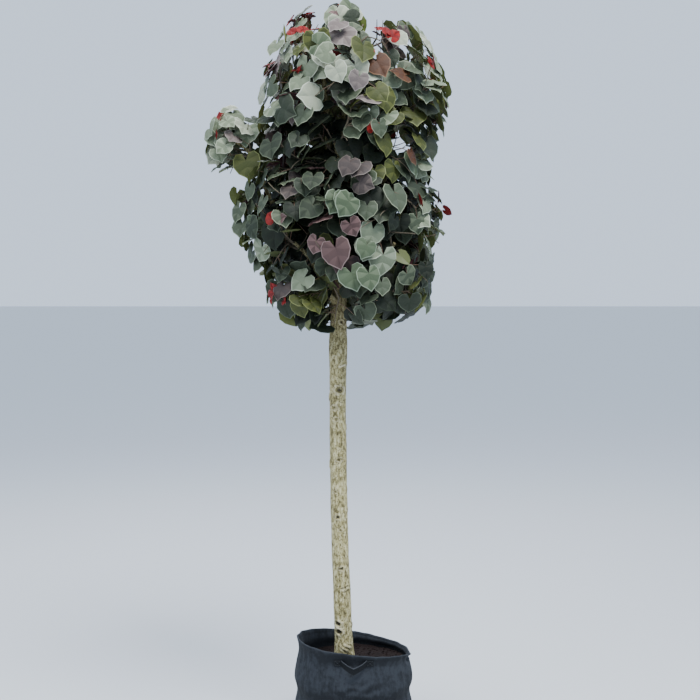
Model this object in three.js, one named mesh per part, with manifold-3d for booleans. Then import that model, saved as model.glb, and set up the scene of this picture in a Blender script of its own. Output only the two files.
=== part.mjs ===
// A young shade tree grown as a standard: one bare, nearly straight stem with a full head of
// heart-shaped leaves. Its root ball stands in a black fabric grow bag with two webbing handles.
// Millimetres, +Z up, origin at the centre of the bag's flat underside, front towards -Y.

import * as THREE from "three";
import { mergeVertices } from "three/addons/utils/BufferGeometryUtils.js";
import Module from "manifold-3d";

const wasm = await Module();
wasm.setup();

// Driving sizes

const CLEARANCE = 0.3; // between pieces that touch in the real thing

const BAG_HEIGHT = 345; // the rim where it stands highest
const BAG_WALL = 4; // felt-like fabric with its hem, evened out
const BAG_SIDES = 32;
const BAG_PROFILE = [
  // radius and height of the wall's outer face, from the flat underside up to the rim
  [170, 0],
  [192, 14],
  [201, 50],
  [203, 110],
  [196, 155],
  [207, 200],
  [199, 255],
  [190, 300],
  [195, 345],
];
const RIM_SAG = 62; // how far the rim droops at its lowest
const RIM_LOW_AZIMUTH = 35; // degrees, the side where it droops
const SOIL_LEVEL = 255;

const HANDLE_SPAN = 76; // between the two sewn ends
const HANDLE_TAB = 20; // length sewn to the wall at each end
const HANDLE_WIDTH = 22;
const HANDLE_THICK = 2.4;
const HANDLE_BELOW_RIM = 19; // upper edge at the sewn ends
const HANDLE_DROOP = 17; // the free loop hangs this much lower in the middle
const HANDLE_STAND_OFF = 26; // and this far out from the wall

const TRUNK_FOOT = 255.3; // flat cut on the soil
const TRUNK_FORK = 1740;
const TRUNK_FOOT_X = -31;
const TRUNK_LEAN = -15; // sideways from foot to fork
const TRUNK_BOW = 15;
const TRUNK_RADIUS = 30.5;
const TRUNK_TAPER = 2.5;
const TRUNK_TOP_TAPER = 3;
const ROOT_FLARE = 7;
const ROOT_FLARE_HEIGHT = 45;
const COLLAR_SWELL = 3.5; // old branch collars under the head
const COLLAR_HEIGHT = 1345;
const COLLAR_SPREAD = 70;

const BOUGH_RADIUS = [13, 9];
const LIMB_BEND = 0.62; // a limb turns upwards after this share of its way out
const LIMB_START_RISE = 0.3; // having climbed this share of its height

// Outline of the leafy head: height, sideways place of its middle, radius
const HEAD_OUTLINE = [
  [1395, -25, 170],
  [1480, -12, 290],
  [1600, -5, 335],
  [1750, -40, 372],
  [1880, -60, 366],
  [2000, -31, 332],
  [2100, -15, 342],
  [2200, 15, 360],
  [2310, 0, 328],
  [2400, -15, 272],
  [2460, -20, 205],
  [2530, -22, 95],
];
const HEAD_MIDDLE = new THREE.Vector3(-30, 0, 1950);

// A spray of leaves stands out of the head on its left
const SPRAY_MIDDLE = new THREE.Vector3(-434, -20, 2045);
const SPRAY_REACH = new THREE.Vector3(78, 118, 132);
const SPRAY_FORK = 1562; // where its bough leaves the trunk
const SPRAY_ENTRY = new THREE.Vector3(-330, -50, 1975);
const SPRAY_TIP = new THREE.Vector3(-425, -20, 2060);
const SPRAY_TWIGS = 5;

// The masses of foliage, tier by tier: how many, the first one's azimuth in degrees, how far out
// and how high their middles lie, and where their boughs leave the trunk and enter them
const TIERS = [
  { name: "lower", count: 4, turn: 225, out: 215, height: 1620, fork: 1500, step: 16,
    entry: [112, 1585], tip: [232, 1700], twigs: 7 },
  { name: "middle", count: 4, turn: 262, out: 215, height: 1955, fork: 1600, step: 14,
    entry: [104, 1850], tip: [215, 2020], twigs: 7 },
  { name: "upper", count: 3, turn: 240, out: 195, height: 2250, fork: 1660, step: 6,
    entry: [122, 2160], tip: [170, 2300], twigs: 8 },
  { name: "top", count: 1, turn: 240, out: 0, height: 2440, fork: TRUNK_FORK, step: 0,
    entry: [0, 2250], tip: [12, 2400], twigs: 8 },
];

const LEAVES_PER_TWIG = 9;
const OUTER_LEAVES = 3; // of these, the ones that reach for the light
const LEAF_TRIES = 24;
const TRY_TURN = 0.9; // each further try turns the leaf on
const TRY_SHRINK = 0.012; // and makes it smaller
const LEAFY_END = 0.985; // the first leaf's place along its twig
const LEAFY_SHARE = 0.6; // the share of a twig that carries leaves
const TWIG_ZONE = [0.12, 0.94]; // the stretch of a stem that carries twigs
const TWIG_DEPTH = 62; // how far below the outline a twig ends, at least
const TWIG_DEPTH_MOST = 150; // few end deeper than this
const DEEP_TWIGS = 0.2; // the share of the deeper ends that are let through
const SPRAY_TWIG_DEPTH = 30;
const TARGET_ROOM = 210; // how far from a mass's middle twigs may aim
const SPRAY_TARGET_ROOM = 90;
const LEAF_LENGTH = [92, 116];
const LEAF_THICK = 4.6; // in its middle; the rim is thin
const STALK_LENGTH = [38, 76];
const STALK_RADIUS = 1.7;
const TWIG_RADIUS = [4.4, 3.4];
const STEM_RADIUS = [8.6, 5.6];
const STEM_STEPS = 3;
const TWIG_STEPS = 1;
const CELL_GAP = 2.4; // empty space kept between two masses
const LIMB_GAP = 7; // and between a leaf and a limb it passes
const TWIG_GAP = 3; // and between a leaf and the twigs of its own mass
const LEAF_GAP = 0.1; // and between two leaves, as a share of their length
const BOUGH_SIDES = 6;
const BOUGH_STEPS = 5;
const STEM_SIDES = 4;
const TWIG_SIDES = 3;
const SMALLEST_STEP = 0.05; // unevenness that a joined shape loses
const GOLDEN_TURN = Math.PI * (3 - Math.sqrt(5));
const FIRST_SEED = 1000;
const SEED_STEP = 77;

const UP = new THREE.Vector3(0, 0, 1);

// Chance, seeded so that the tree is the same each time

let seed = 1;

function chance() {
  seed = (Math.imul(seed, 1664525) + 1013904223) >>> 0;
  return seed / 4294967296;
}

function between(low, high) {
  return low + (high - low) * chance();
}

function jitter(size) {
  return new THREE.Vector3(between(-size, size), between(-size, size), between(-size, size));
}

// Geometry helpers

function interpolate(rows, height, column) {
  const last = rows.length - 1;
  if (height <= rows[0][0]) return rows[0][column];
  if (height >= rows[last][0]) return rows[last][column];
  const i = rows.findIndex((row) => row[0] > height);
  const share = (height - rows[i - 1][0]) / (rows[i][0] - rows[i - 1][0]);
  return rows[i - 1][column] + share * (rows[i][column] - rows[i - 1][column]);
}

function geometryOf(vertices, triangles) {
  const geometry = new THREE.BufferGeometry();
  geometry.setAttribute("position", new THREE.Float32BufferAttribute(vertices, 3));
  geometry.setIndex(triangles);
  return geometry;
}

// Merges shared vertices and drops the faces that this collapses
function closed(geometry) {
  const bare = geometry.clone();
  bare.deleteAttribute("normal");
  bare.deleteAttribute("uv");
  const merged = mergeVertices(bare, 1e-3);
  const index = merged.index.array;
  const kept = [];
  for (let i = 0; i < index.length; i += 3) {
    const [a, b, c] = [index[i], index[i + 1], index[i + 2]];
    if (a !== b && b !== c && c !== a) kept.push(a, b, c);
  }
  merged.setIndex(kept);
  return merged;
}

function solidOf(geometry) {
  const merged = closed(geometry);
  return new wasm.Manifold(
    new wasm.Mesh({
      numProp: 3,
      vertProperties: new Float32Array(merged.attributes.position.array),
      triVerts: new Uint32Array(merged.index.array),
    }),
  );
}

function geometryOfSolid(solid) {
  const mesh = solid.getMesh();
  return geometryOf(Array.from(mesh.vertProperties), Array.from(mesh.triVerts));
}

// The one main body of a solid: loose scraps and sealed hollows are left behind. It is taken
// twice, because a body that hangs on by one point comes apart once its vertices are merged.
function mainBody(solid) {
  const largest = (bodies) => bodies.reduce((a, b) => (b.volume() > a.volume() ? b : a));
  const once = largest(solid.decompose()).simplify(SMALLEST_STEP);
  return geometryOfSolid(largest(solidOf(geometryOfSolid(once)).decompose()));
}

// Rings of points joined into a closed skin; each ring has as many points, in the same turn
function skin(rings) {
  const sides = rings[0].length;
  const vertices = rings.flat().flatMap((p) => [p.x, p.y, p.z]);
  const triangles = [];
  for (let k = 0; k + 1 < rings.length; k++) {
    for (let i = 0; i < sides; i++) {
      const a = k * sides + i;
      const b = k * sides + ((i + 1) % sides);
      triangles.push(a, b, b + sides, a, b + sides, a + sides);
    }
  }
  const top = (rings.length - 1) * sides;
  for (let i = 1; i + 1 < sides; i++) {
    triangles.push(0, i + 1, i);
    triangles.push(top, top + i, top + i + 1);
  }
  return geometryOf(vertices, triangles);
}

// A limb: a tapering tube round a smooth line. Its rings all turn from the same sideways axis,
// the one that the limb as a whole runs most square to.
function limb(line, radiusAt, sides, steps) {
  const rings = [];
  const whole = line.getPoint(1).sub(line.getPoint(0));
  const reference =
    Math.abs(whole.x) < Math.abs(whole.y) ? new THREE.Vector3(1, 0, 0) : new THREE.Vector3(0, 1, 0);
  for (let k = 0; k <= steps; k++) {
    const t = k / steps;
    const middle = line.getPoint(t);
    const along = line.getTangent(t);
    const side = reference.clone().cross(along).normalize();
    const over = along.clone().cross(side);
    const ring = [];
    for (let i = 0; i < sides; i++) {
      const angle = (2 * Math.PI * i) / sides;
      const r = radiusAt(t);
      ring.push(
        middle
          .clone()
          .addScaledVector(side, r * Math.cos(angle))
          .addScaledVector(over, r * Math.sin(angle)),
      );
    }
    rings.push(ring);
  }
  return skin(rings);
}

// A point of the limb's own middle line, which runs straight from ring to ring
function pointOf(line, steps, t) {
  const k = Math.min(steps - 1, Math.floor(t * steps));
  return line.getPoint(k / steps).lerp(line.getPoint((k + 1) / steps), t * steps - k);
}

function taper(from, to) {
  return (t) => from + (to - from) * t;
}

// The grow bag and the root ball in it

function rimHeight(azimuth) {
  const low = THREE.MathUtils.degToRad(RIM_LOW_AZIMUTH);
  return BAG_HEIGHT - RIM_SAG * Math.pow(0.5 + 0.5 * Math.cos(azimuth - low), 1.3);
}

// Above the soil the wall is drawn down to the drooping rim; below it the wall is round
function sagged(height, azimuth) {
  if (height <= SOIL_LEVEL) return height;
  const share = (height - SOIL_LEVEL) / (BAG_HEIGHT - SOIL_LEVEL);
  return SOIL_LEVEL + share * (rimHeight(azimuth) - SOIL_LEVEL);
}

function turned(profile) {
  const points = profile.map(([radius, height]) => new THREE.Vector2(radius, height));
  const geometry = closed(new THREE.LatheGeometry(points, BAG_SIDES));
  geometry.rotateX(Math.PI / 2);
  const position = geometry.attributes.position;
  for (let i = 0; i < position.count; i++) {
    const azimuth = Math.atan2(position.getY(i), position.getX(i));
    position.setZ(i, sagged(position.getZ(i), azimuth));
  }
  return geometry;
}

function insetProfile(inset) {
  return BAG_PROFILE.map(([radius, height]) => [radius - inset, Math.max(height, inset)]);
}

function growBag() {
  const inner = insetProfile(BAG_WALL).reverse();
  return turned([[0, 0], ...BAG_PROFILE, ...inner, [0, BAG_WALL]]);
}

function rootBall() {
  const inset = BAG_WALL + CLEARANCE;
  const under = insetProfile(inset).filter(([, height]) => height < SOIL_LEVEL);
  const edge = BAG_PROFILE.find(([, height]) => height === SOIL_LEVEL)[0] - inset;
  return turned([[0, inset], ...under, [edge, SOIL_LEVEL], [0, SOIL_LEVEL]]);
}

function wallRadius(azimuth, height) {
  const rim = rimHeight(azimuth);
  const share = (height - SOIL_LEVEL) / (rim - SOIL_LEVEL);
  const level = SOIL_LEVEL + share * (BAG_HEIGHT - SOIL_LEVEL);
  const rows = BAG_PROFILE.map(([radius, z]) => [z, radius]);
  return interpolate(rows, level, 1);
}

// A webbing strap sewn on at both ends, its loop hanging open in a shallow V
function handle(azimuth) {
  const half = HANDLE_SPAN / 2 + HANDLE_TAB;
  const steps = 10;
  const rings = [];
  for (let k = 0; k <= steps; k++) {
    const along = -half + (2 * half * k) / steps;
    const free = Math.max(0, 1 - Math.abs(along) / (HANDLE_SPAN / 2));
    const open = Math.pow(Math.sin((free * Math.PI) / 2), 0.8);
    const turn = azimuth + along / BAG_PROFILE[0][0];
    const top = rimHeight(azimuth) - HANDLE_BELOW_RIM - HANDLE_DROOP * free;
    const standOff = CLEARANCE + HANDLE_STAND_OFF * open;
    rings.push(
      [
        [top, 0],
        [top, HANDLE_THICK],
        [top - HANDLE_WIDTH, HANDLE_THICK],
        [top - HANDLE_WIDTH, 0],
      ].map(([height, out]) => {
        const radius = wallRadius(turn, height) + standOff + out;
        return new THREE.Vector3(radius * Math.cos(turn), radius * Math.sin(turn), height);
      }),
    );
  }
  return skin(rings);
}

// The trunk, with its lean, bow, taper, root flare and collar, cut flat at the foot and the fork

function trunkMiddle(height) {
  const t = (height - TRUNK_FOOT) / (TRUNK_FORK - TRUNK_FOOT);
  return new THREE.Vector3(
    TRUNK_FOOT_X + TRUNK_LEAN * t - TRUNK_BOW * Math.sin(Math.PI * t),
    (TRUNK_BOW / 2) * Math.sin(Math.PI * t),
    height,
  );
}

function trunkRadius(height) {
  const t = (height - TRUNK_FOOT) / (TRUNK_FORK - TRUNK_FOOT);
  const flare = ROOT_FLARE * Math.exp(-(height - TRUNK_FOOT) / ROOT_FLARE_HEIGHT);
  const collar = COLLAR_SWELL * Math.exp(-(((height - COLLAR_HEIGHT) / COLLAR_SPREAD) ** 2));
  return TRUNK_RADIUS - TRUNK_TAPER * t - TRUNK_TOP_TAPER * t ** 6 + flare + collar;
}

function trunk(extra) {
  const sides = 12;
  const rings = [];
  const span = TRUNK_FORK - TRUNK_FOOT + 2 * extra;
  for (const share of [0, 0.015, 0.04, 0.08, 0.2, 0.35, 0.5, 0.62, 0.69, 0.74, 0.8, 0.88, 0.95, 1]) {
    const height = TRUNK_FOOT - extra + span * share;
    const middle = trunkMiddle(height);
    const radius = trunkRadius(height) + extra;
    const ring = [];
    for (let i = 0; i < sides; i++) {
      const angle = (2 * Math.PI * i) / sides;
      const place = new THREE.Vector3(Math.cos(angle), Math.sin(angle), 0);
      ring.push(place.multiplyScalar(radius).add(middle));
    }
    rings.push(ring);
  }
  return skin(rings);
}

// The masses: where each one lies, the bough that carries it and the stem inside it

function polar(azimuth, out, height) {
  const turn = THREE.MathUtils.degToRad(azimuth);
  const x = HEAD_MIDDLE.x + out * Math.cos(turn);
  return new THREE.Vector3(x, HEAD_MIDDLE.y + out * Math.sin(turn), height);
}

// A limb leaves low and outwards and turns upwards on its way
function risingLine(from, to) {
  const bend = from.clone().lerp(to, LIMB_BEND);
  bend.z = from.z + LIMB_START_RISE * (to.z - from.z);
  return new THREE.QuadraticBezierCurve3(from, bend, to);
}

function massesOf(tier) {
  return Array.from({ length: tier.count }, (_, i) => {
    const azimuth = tier.turn + (360 / tier.count) * i;
    return {
      name: tier.count > 1 ? `${tier.name}_foliage_${i + 1}` : `${tier.name}_foliage`,
      bough: tier.count > 1 ? `${tier.name}_bough_${i + 1}` : `${tier.name}_bough`,
      middle: polar(azimuth, tier.out, tier.height),
      foot: trunkMiddle(tier.fork + tier.step * ((i * 2) % 5)),
      entry: polar(azimuth, ...tier.entry),
      tip: polar(azimuth, ...tier.tip),
      twigs: tier.twigs,
    };
  });
}

const MASSES = [
  ...TIERS.flatMap(massesOf),
  {
    name: "side_foliage",
    bough: "side_bough",
    middle: SPRAY_MIDDLE,
    foot: trunkMiddle(SPRAY_FORK),
    entry: SPRAY_ENTRY,
    tip: SPRAY_TIP,
    twigs: SPRAY_TWIGS,
    spray: true,
  },
];

function inHead(p) {
  const radius = interpolate(HEAD_OUTLINE, p.z, 2);
  const low = HEAD_OUTLINE[0][0];
  const high = HEAD_OUTLINE[HEAD_OUTLINE.length - 1][0];
  const x = p.x - interpolate(HEAD_OUTLINE, p.z, 1);
  return p.z > low && p.z < high && Math.hypot(x, p.y) < radius;
}

function inSpray(p) {
  return p.clone().sub(SPRAY_MIDDLE).divide(SPRAY_REACH).length() < 1;
}

// A mass keeps to the space that lies nearer to its own middle than to any other's
function inOwnSpace(mass, p) {
  return MASSES.every((other) => {
    if (other === mass) return true;
    const across = other.middle.clone().sub(mass.middle);
    const half = across.length() / 2;
    const far = p.clone().sub(mass.middle).dot(across.normalize());
    return far < half - CELL_GAP / 2;
  });
}

function mayGrow(mass, p) {
  return inOwnSpace(mass, p) && (mass.spray ? inSpray(p) : inHead(p));
}

const boughLines = new Map(MASSES.map((mass) => [mass, risingLine(mass.foot, mass.entry)]));

// Straight pieces of a limb, against which twigs and leaves are tested
function piecesOf(line, radiusAt, steps) {
  const points = line.getPoints(steps);
  return Array.from({ length: steps }, (_, i) => ({
    piece: new THREE.Line3(points[i], points[i + 1]),
    radius: radiusAt(i / steps),
  }));
}

const boughRadius = taper(...BOUGH_RADIUS);
const limbPieces = [...boughLines.values()].flatMap((line) => piecesOf(line, boughRadius, 8));
for (let height = 1300; height < TRUNK_FORK; height += 110) {
  const piece = new THREE.Line3(trunkMiddle(height), trunkMiddle(height + 110));
  limbPieces.push({ piece, radius: trunkRadius(height) });
}

function clearOf(pieces, p, gap) {
  const nearest = new THREE.Vector3();
  return pieces.every(({ piece, radius }) => {
    piece.closestPointToPoint(p, true, nearest);
    return nearest.distanceTo(p) > radius + gap;
  });
}

function outwards(p) {
  const way = p.clone().sub(HEAD_MIDDLE);
  way.z *= 0.55;
  return way.normalize();
}

// Twigs aim at places spread evenly below the mass's outer face
function twigTargets(mass) {
  const targets = [];
  const spread = mass.spray ? SPRAY_TARGET_ROOM : TARGET_ROOM;
  const depth = mass.spray ? SPRAY_TWIG_DEPTH : TWIG_DEPTH;
  const inOutline = mass.spray ? inSpray : inHead;
  while (targets.length < mass.twigs) {
    let best = null;
    let bestRoom = -1;
    for (let tries = 0; tries < 400 && (tries < 40 || !best); tries++) {
      const p = mass.middle.clone().add(jitter(spread));
      const way = outwards(p);
      if (!mayGrow(mass, p) || !inOutline(p.clone().addScaledVector(way, depth))) continue;
      const isDeep = inHead(p.clone().addScaledVector(way, TWIG_DEPTH_MOST));
      if (isDeep && chance() > DEEP_TWIGS) continue;
      const room = Math.min(...targets.map((t) => t.distanceTo(p)), 2 * spread);
      if (room > bestRoom) {
        best = p;
        bestRoom = room;
      }
    }
    if (!best) break;
    targets.push(best);
  }
  return targets.sort((a, b) => a.z - b.z);
}

// A leaf and its stalk, one closed shape: a heart-shaped blade folded a little along its midrib,
// thick in the middle and thin at its rim. Points are shares of the leaf's length.
const HEART = [
  [-0.33, -0.13, -0.02],
  [-0.5, 0.24, -0.1],
  [0, 0.92, -0.12],
  [0.5, 0.24, -0.1],
  [0.33, -0.13, -0.02],
];
const HEART_MIDDLE = [0, 0.32, 0.02];

function leafPoints(leaf) {
  const place = ([x, y, z], lift) =>
    leaf.base
      .clone()
      .addScaledVector(leaf.side, x * leaf.length)
      .addScaledVector(leaf.along, y * leaf.length)
      .addScaledVector(leaf.normal, z * leaf.length + lift);
  const thick = LEAF_THICK / 2;
  return {
    rim: HEART.map((p) => place(p, 0)),
    upper: place(HEART_MIDDLE, thick),
    under: place(HEART_MIDDLE, -thick),
    notchLeft: place([0, 0, 0], 0).addScaledVector(leaf.side, -STALK_RADIUS),
    notchRight: place([0, 0, 0], 0).addScaledVector(leaf.side, STALK_RADIUS),
    notchUnder: place([0, 0, 0], 0).addScaledVector(leaf.under, 1.8 * STALK_RADIUS),
  };
}

function leafShape(leaf) {
  const p = leafPoints(leaf);
  const foot = [p.notchLeft, p.notchRight, p.notchUnder].map((end) =>
    end.clone().sub(leaf.base).multiplyScalar(0.6).add(leaf.root),
  );
  const points = [...p.rim, p.upper, p.under, p.notchLeft, p.notchRight, p.notchUnder, ...foot];
  const triangles = [
    5, 1, 0, 5, 2, 1, 5, 3, 2, 5, 4, 3, 5, 8, 4, 5, 7, 8, 5, 0, 7,
    6, 0, 1, 6, 1, 2, 6, 2, 3, 6, 3, 4, 6, 4, 8, 6, 8, 9, 6, 9, 7, 6, 7, 0,
    7, 11, 8, 7, 10, 11, 8, 12, 9, 8, 11, 12, 9, 10, 7, 9, 12, 10,
    10, 12, 11,
  ];
  return geometryOf(points.flatMap((q) => [q.x, q.y, q.z]), triangles);
}

// Places over the blade at which it is tested against the space and the limbs
function leafTests(leaf) {
  const { rim, upper } = leafPoints(leaf);
  const halfway = rim.map((p) => p.clone().lerp(upper, 0.5));
  const between = rim.map((p, i) => p.clone().lerp(rim[(i + 1) % rim.length], 0.5));
  return { outer: rim, all: [...rim, upper, ...halfway, ...between] };
}

// Whether a leaf passes through another or lies too close to it: a slab round the other's blade,
// which hangs a little below its base, is kept free
function meets(leaf, other) {
  if (leaf.centre.distanceTo(other.centre) < 3 * LEAF_GAP * other.length) return true;
  return leaf.tests.some((p) => {
    const way = p.clone().sub(other.base).divideScalar(other.length);
    const [x, y, z] = [way.dot(other.side), way.dot(other.along), way.dot(other.normal)];
    return Math.abs(z + 0.04) < LEAF_GAP && Math.abs(x) < 0.5 && y > -0.15 && y < 0.92;
  });
}

// A leaf on its stalk at one node of a twig. Stalks stand off the twig all round, blades face
// outwards and hang; near the top of the tree they lie flatter. Null if the leaf doesn't fit.

function tryLeaf(mass, node, way, turn, shrink) {
  const out = outwards(node);
  const across = out.clone().cross(way).normalize();
  const over = way.clone().cross(across);
  const stalkWay = across
    .multiplyScalar(Math.cos(turn))
    .addScaledVector(over, Math.sin(turn))
    .addScaledVector(way, 0.45)
    .addScaledVector(out, 0.75)
    .addScaledVector(UP, 0.3)
    .add(jitter(0.25))
    .normalize();
  const base = node.clone().addScaledVector(stalkWay, between(...STALK_LENGTH));
  const high = THREE.MathUtils.smoothstep(base.z, 2150, 2500);
  const normal = outwards(base)
    .multiplyScalar(1 - 0.4 * high)
    .addScaledVector(UP, 0.45 + 0.7 * high)
    .add(jitter(0.34))
    .normalize();
  const along = outwards(base)
    .multiplyScalar(0.45 + 0.5 * high)
    .addScaledVector(UP, -1 + 0.7 * high)
    .add(jitter(0.4));
  along.addScaledVector(normal, -along.dot(normal)).normalize();
  const side = along.clone().cross(normal);
  const back = node.clone().sub(base).normalize();
  if (back.dot(along) > 0.3 || back.dot(normal) > 0.2 || Math.abs(back.dot(side)) > 0.7) return null;
  const under = side.clone().cross(back).normalize();
  const leaf = { root: node, base, normal, along, side, under };
  leaf.length = between(...LEAF_LENGTH) * shrink;
  const tests = leafTests(leaf);
  leaf.centre = tests.all[HEART.length];
  leaf.reach = Math.max(...tests.outer.map((p) => p.distanceTo(HEAD_MIDDLE)));
  leaf.blade = tests.all;
  leaf.tests = [...tests.all, ...[0.4, 0.65, 0.85].map((t) => node.clone().lerp(base, t))];
  if (!tests.outer.every((p) => mayGrow(mass, p))) return null;
  if (!tests.all.every((p) => clearOf(limbPieces, p, LIMB_GAP))) return null;
  return leaf;
}

function foliage(mass) {
  const boughEnd = boughLines.get(mass).getTangent(1);
  const start = mass.entry.clone().addScaledVector(boughEnd, CLEARANCE);
  const bend = start.clone().addScaledVector(boughEnd, 0.5 * start.distanceTo(mass.tip));
  const stem = new THREE.QuadraticBezierCurve3(start, bend, mass.tip);
  const stemRadius = taper(...STEM_RADIUS);
  const twigRadius = taper(...TWIG_RADIUS);
  const targets = twigTargets(mass);
  const twigs = targets
    .map((target, i) => {
      const leave = THREE.MathUtils.lerp(...TWIG_ZONE, (i + 0.5) / targets.length);
      return risingLine(pointOf(stem, STEM_STEPS, leave), target);
    })
    .filter((line) =>
      [0.25, 0.4, 0.55, 0.7, 0.85, 1]
        .map((t) => pointOf(line, TWIG_STEPS, t))
        .every((p) => inOwnSpace(mass, p) && clearOf(limbPieces, p, LIMB_GAP + TWIG_RADIUS[0])),
    );
  const ownPieces = [
    ...piecesOf(stem, stemRadius, STEM_STEPS),
    ...twigs.flatMap((line) => piecesOf(line, twigRadius, TWIG_STEPS)),
  ];
  const leaves = [];
  for (const line of twigs) {
    const firstTurn = between(0, 2 * Math.PI);
    for (let k = 0; k < LEAVES_PER_TWIG; k++) {
      const t = LEAFY_END - (LEAFY_SHARE * k) / LEAVES_PER_TWIG;
      const node = pointOf(line, TWIG_STEPS, t);
      const fitting = [];
      for (let tries = 0; tries < LEAF_TRIES; tries++) {
        const turn = firstTurn + GOLDEN_TURN * k + TRY_TURN * tries;
        const shrink = 1 - TRY_SHRINK * tries;
        const leaf = tryLeaf(mass, node, line.getTangent(t), turn, shrink);
        if (!leaf || !leaf.blade.every((p) => clearOf(ownPieces, p, TWIG_GAP))) continue;
        if (leaves.some((other) => meets(leaf, other) || meets(other, leaf))) continue;
        fitting.push(leaf);
        if (k >= OUTER_LEAVES) break;
      }
      if (fitting.length) leaves.push(fitting.reduce((a, b) => (b.reach > a.reach ? b : a)));
    }
  }
  const shapes = [
    limb(stem, stemRadius, STEM_SIDES, STEM_STEPS),
    ...twigs.map((line) => limb(line, twigRadius, TWIG_SIDES, TWIG_STEPS)),
    ...leaves.map(leafShape),
  ];
  return mainBody(shapes.map(solidOf).reduce((a, b) => a.add(b)));
}

// The boughs, trimmed to sit against the trunk

const roundTrunk = solidOf(trunk(CLEARANCE));

function bough(mass) {
  const whole = solidOf(limb(boughLines.get(mass), boughRadius, BOUGH_SIDES, BOUGH_STEPS));
  return mainBody(whole.subtract(roundTrunk));
}

// Finishes

const MATERIALS = {
  fabric: new THREE.MeshStandardMaterial({ color: 0x1d2126, roughness: 0.95, metalness: 0 }),
  webbing: new THREE.MeshStandardMaterial({ color: 0x2a2d31, roughness: 0.85, metalness: 0 }),
  soil: new THREE.MeshStandardMaterial({ color: 0x3a2622, roughness: 1, metalness: 0 }),
  bark: new THREE.MeshStandardMaterial({ color: 0x9c8f68, roughness: 0.9, metalness: 0 }),
  leaf: new THREE.MeshStandardMaterial({ color: 0x4e6256, roughness: 0.6, metalness: 0 }),
};

// The tree put together

const tree = new THREE.Group();

function place(name, geometry, material) {
  const mesh = new THREE.Mesh(geometry, material);
  mesh.name = name;
  tree.add(mesh);
}

place("grow_bag", growBag(), MATERIALS.fabric);
place("root_ball", rootBall(), MATERIALS.soil);
place("front_handle", handle(-Math.PI / 2), MATERIALS.webbing);
place("back_handle", handle(Math.PI / 2), MATERIALS.webbing);
place("trunk", trunk(0), MATERIALS.bark);
MASSES.forEach((mass, i) => {
  seed = FIRST_SEED + SEED_STEP * i;
  place(mass.bough, bough(mass), MATERIALS.bark);
  place(mass.name, foliage(mass), MATERIALS.leaf);
});

export default tree;
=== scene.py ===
# A young shade tree grown as a standard: one bare stem under a full head of heart-shaped leaves,
# its root ball standing in a black felt grow bag with two webbing handles.
# Metres, +Z up, origin at the centre of the bag's flat underside, front towards -Y.

import math

import bpy
import numpy as np
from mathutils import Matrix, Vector, noise


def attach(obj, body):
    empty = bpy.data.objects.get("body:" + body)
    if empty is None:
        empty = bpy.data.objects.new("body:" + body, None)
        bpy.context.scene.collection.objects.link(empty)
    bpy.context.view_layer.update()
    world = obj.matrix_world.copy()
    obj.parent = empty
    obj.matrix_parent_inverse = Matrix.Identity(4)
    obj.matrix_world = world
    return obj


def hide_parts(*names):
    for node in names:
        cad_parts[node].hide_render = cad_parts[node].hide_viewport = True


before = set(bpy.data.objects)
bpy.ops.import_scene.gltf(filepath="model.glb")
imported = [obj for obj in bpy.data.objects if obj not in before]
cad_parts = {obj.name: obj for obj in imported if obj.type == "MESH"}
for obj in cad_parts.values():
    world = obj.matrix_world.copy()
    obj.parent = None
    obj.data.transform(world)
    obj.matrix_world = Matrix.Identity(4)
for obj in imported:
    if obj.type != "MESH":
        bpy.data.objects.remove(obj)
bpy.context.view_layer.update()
bpy.ops.object.select_all(action="DESELECT")


# The view: a camera at the height of the head's foot, which looks a little down, as in the
# photograph. The floor is plain and pale, and the light is that of an overcast sky.

CAMERA_DISTANCE = 3.724
CAMERA_HEIGHT = 1.51
CAMERA_ASIDE = -0.012
CAMERA_PITCH = 2.6  # degrees below level
FOCAL_SHARE = 1080 / 700  # focal length as a share of the picture's width
SENSOR_WIDTH = 36
LIGHTS_AIM = Vector((0, 0, 1.4))


def new_object(name, data):
    made = bpy.data.objects.new(name, data)
    bpy.context.collection.objects.link(made)
    return made


camera = new_object("camera", bpy.data.cameras.new("camera"))
camera.data.sensor_width = SENSOR_WIDTH
camera.data.lens = SENSOR_WIDTH * FOCAL_SHARE
camera.location = (CAMERA_ASIDE, -CAMERA_DISTANCE, CAMERA_HEIGHT)
camera.rotation_euler = (math.radians(90 - CAMERA_PITCH), 0, 0)
bpy.context.scene.camera = camera


def linear(colour):
    """An sRGB hex colour as the linear RGBA that the shaders take."""
    shares = [int(colour[i : i + 2], 16) / 255 for i in (1, 3, 5)]
    return [s / 12.92 if s <= 0.04045 else ((s + 0.055) / 1.055) ** 2.4 for s in shares] + [1]


def feed(tree, node, inputs):
    """Gives a node's inputs their values; one that is another node's output is linked."""
    for name, value in inputs.items():
        if isinstance(value, bpy.types.NodeSocket):
            tree.links.new(value, node.inputs[name])
        else:
            node.inputs[name].default_value = value


def new_material(name, colour, roughness, specular=0.5):
    """A material with plain values on the shader; its node tree and shader are returned too."""
    material = bpy.data.materials.new(name)
    material.use_nodes = True
    tree = material.node_tree
    shader = tree.nodes["Principled BSDF"]
    plain = {"Base Color": linear(colour), "Roughness": roughness, "Specular IOR Level": specular}
    feed(tree, shader, plain)
    return material, tree, shader


bpy.ops.mesh.primitive_plane_add(size=600, location=(0, 0, 0))
floor = bpy.context.object
floor.name = "floor"
floor.data.materials.append(new_material("pale_floor", "#d3d5d7", 0.9)[0])

world = bpy.data.worlds.new("overcast_sky")
world.use_nodes = True
sky = world.node_tree.nodes["Background"]
feed(world.node_tree, sky, {"Color": linear("#c3d3e8"), "Strength": 1.6})
bpy.context.scene.world = world

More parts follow.
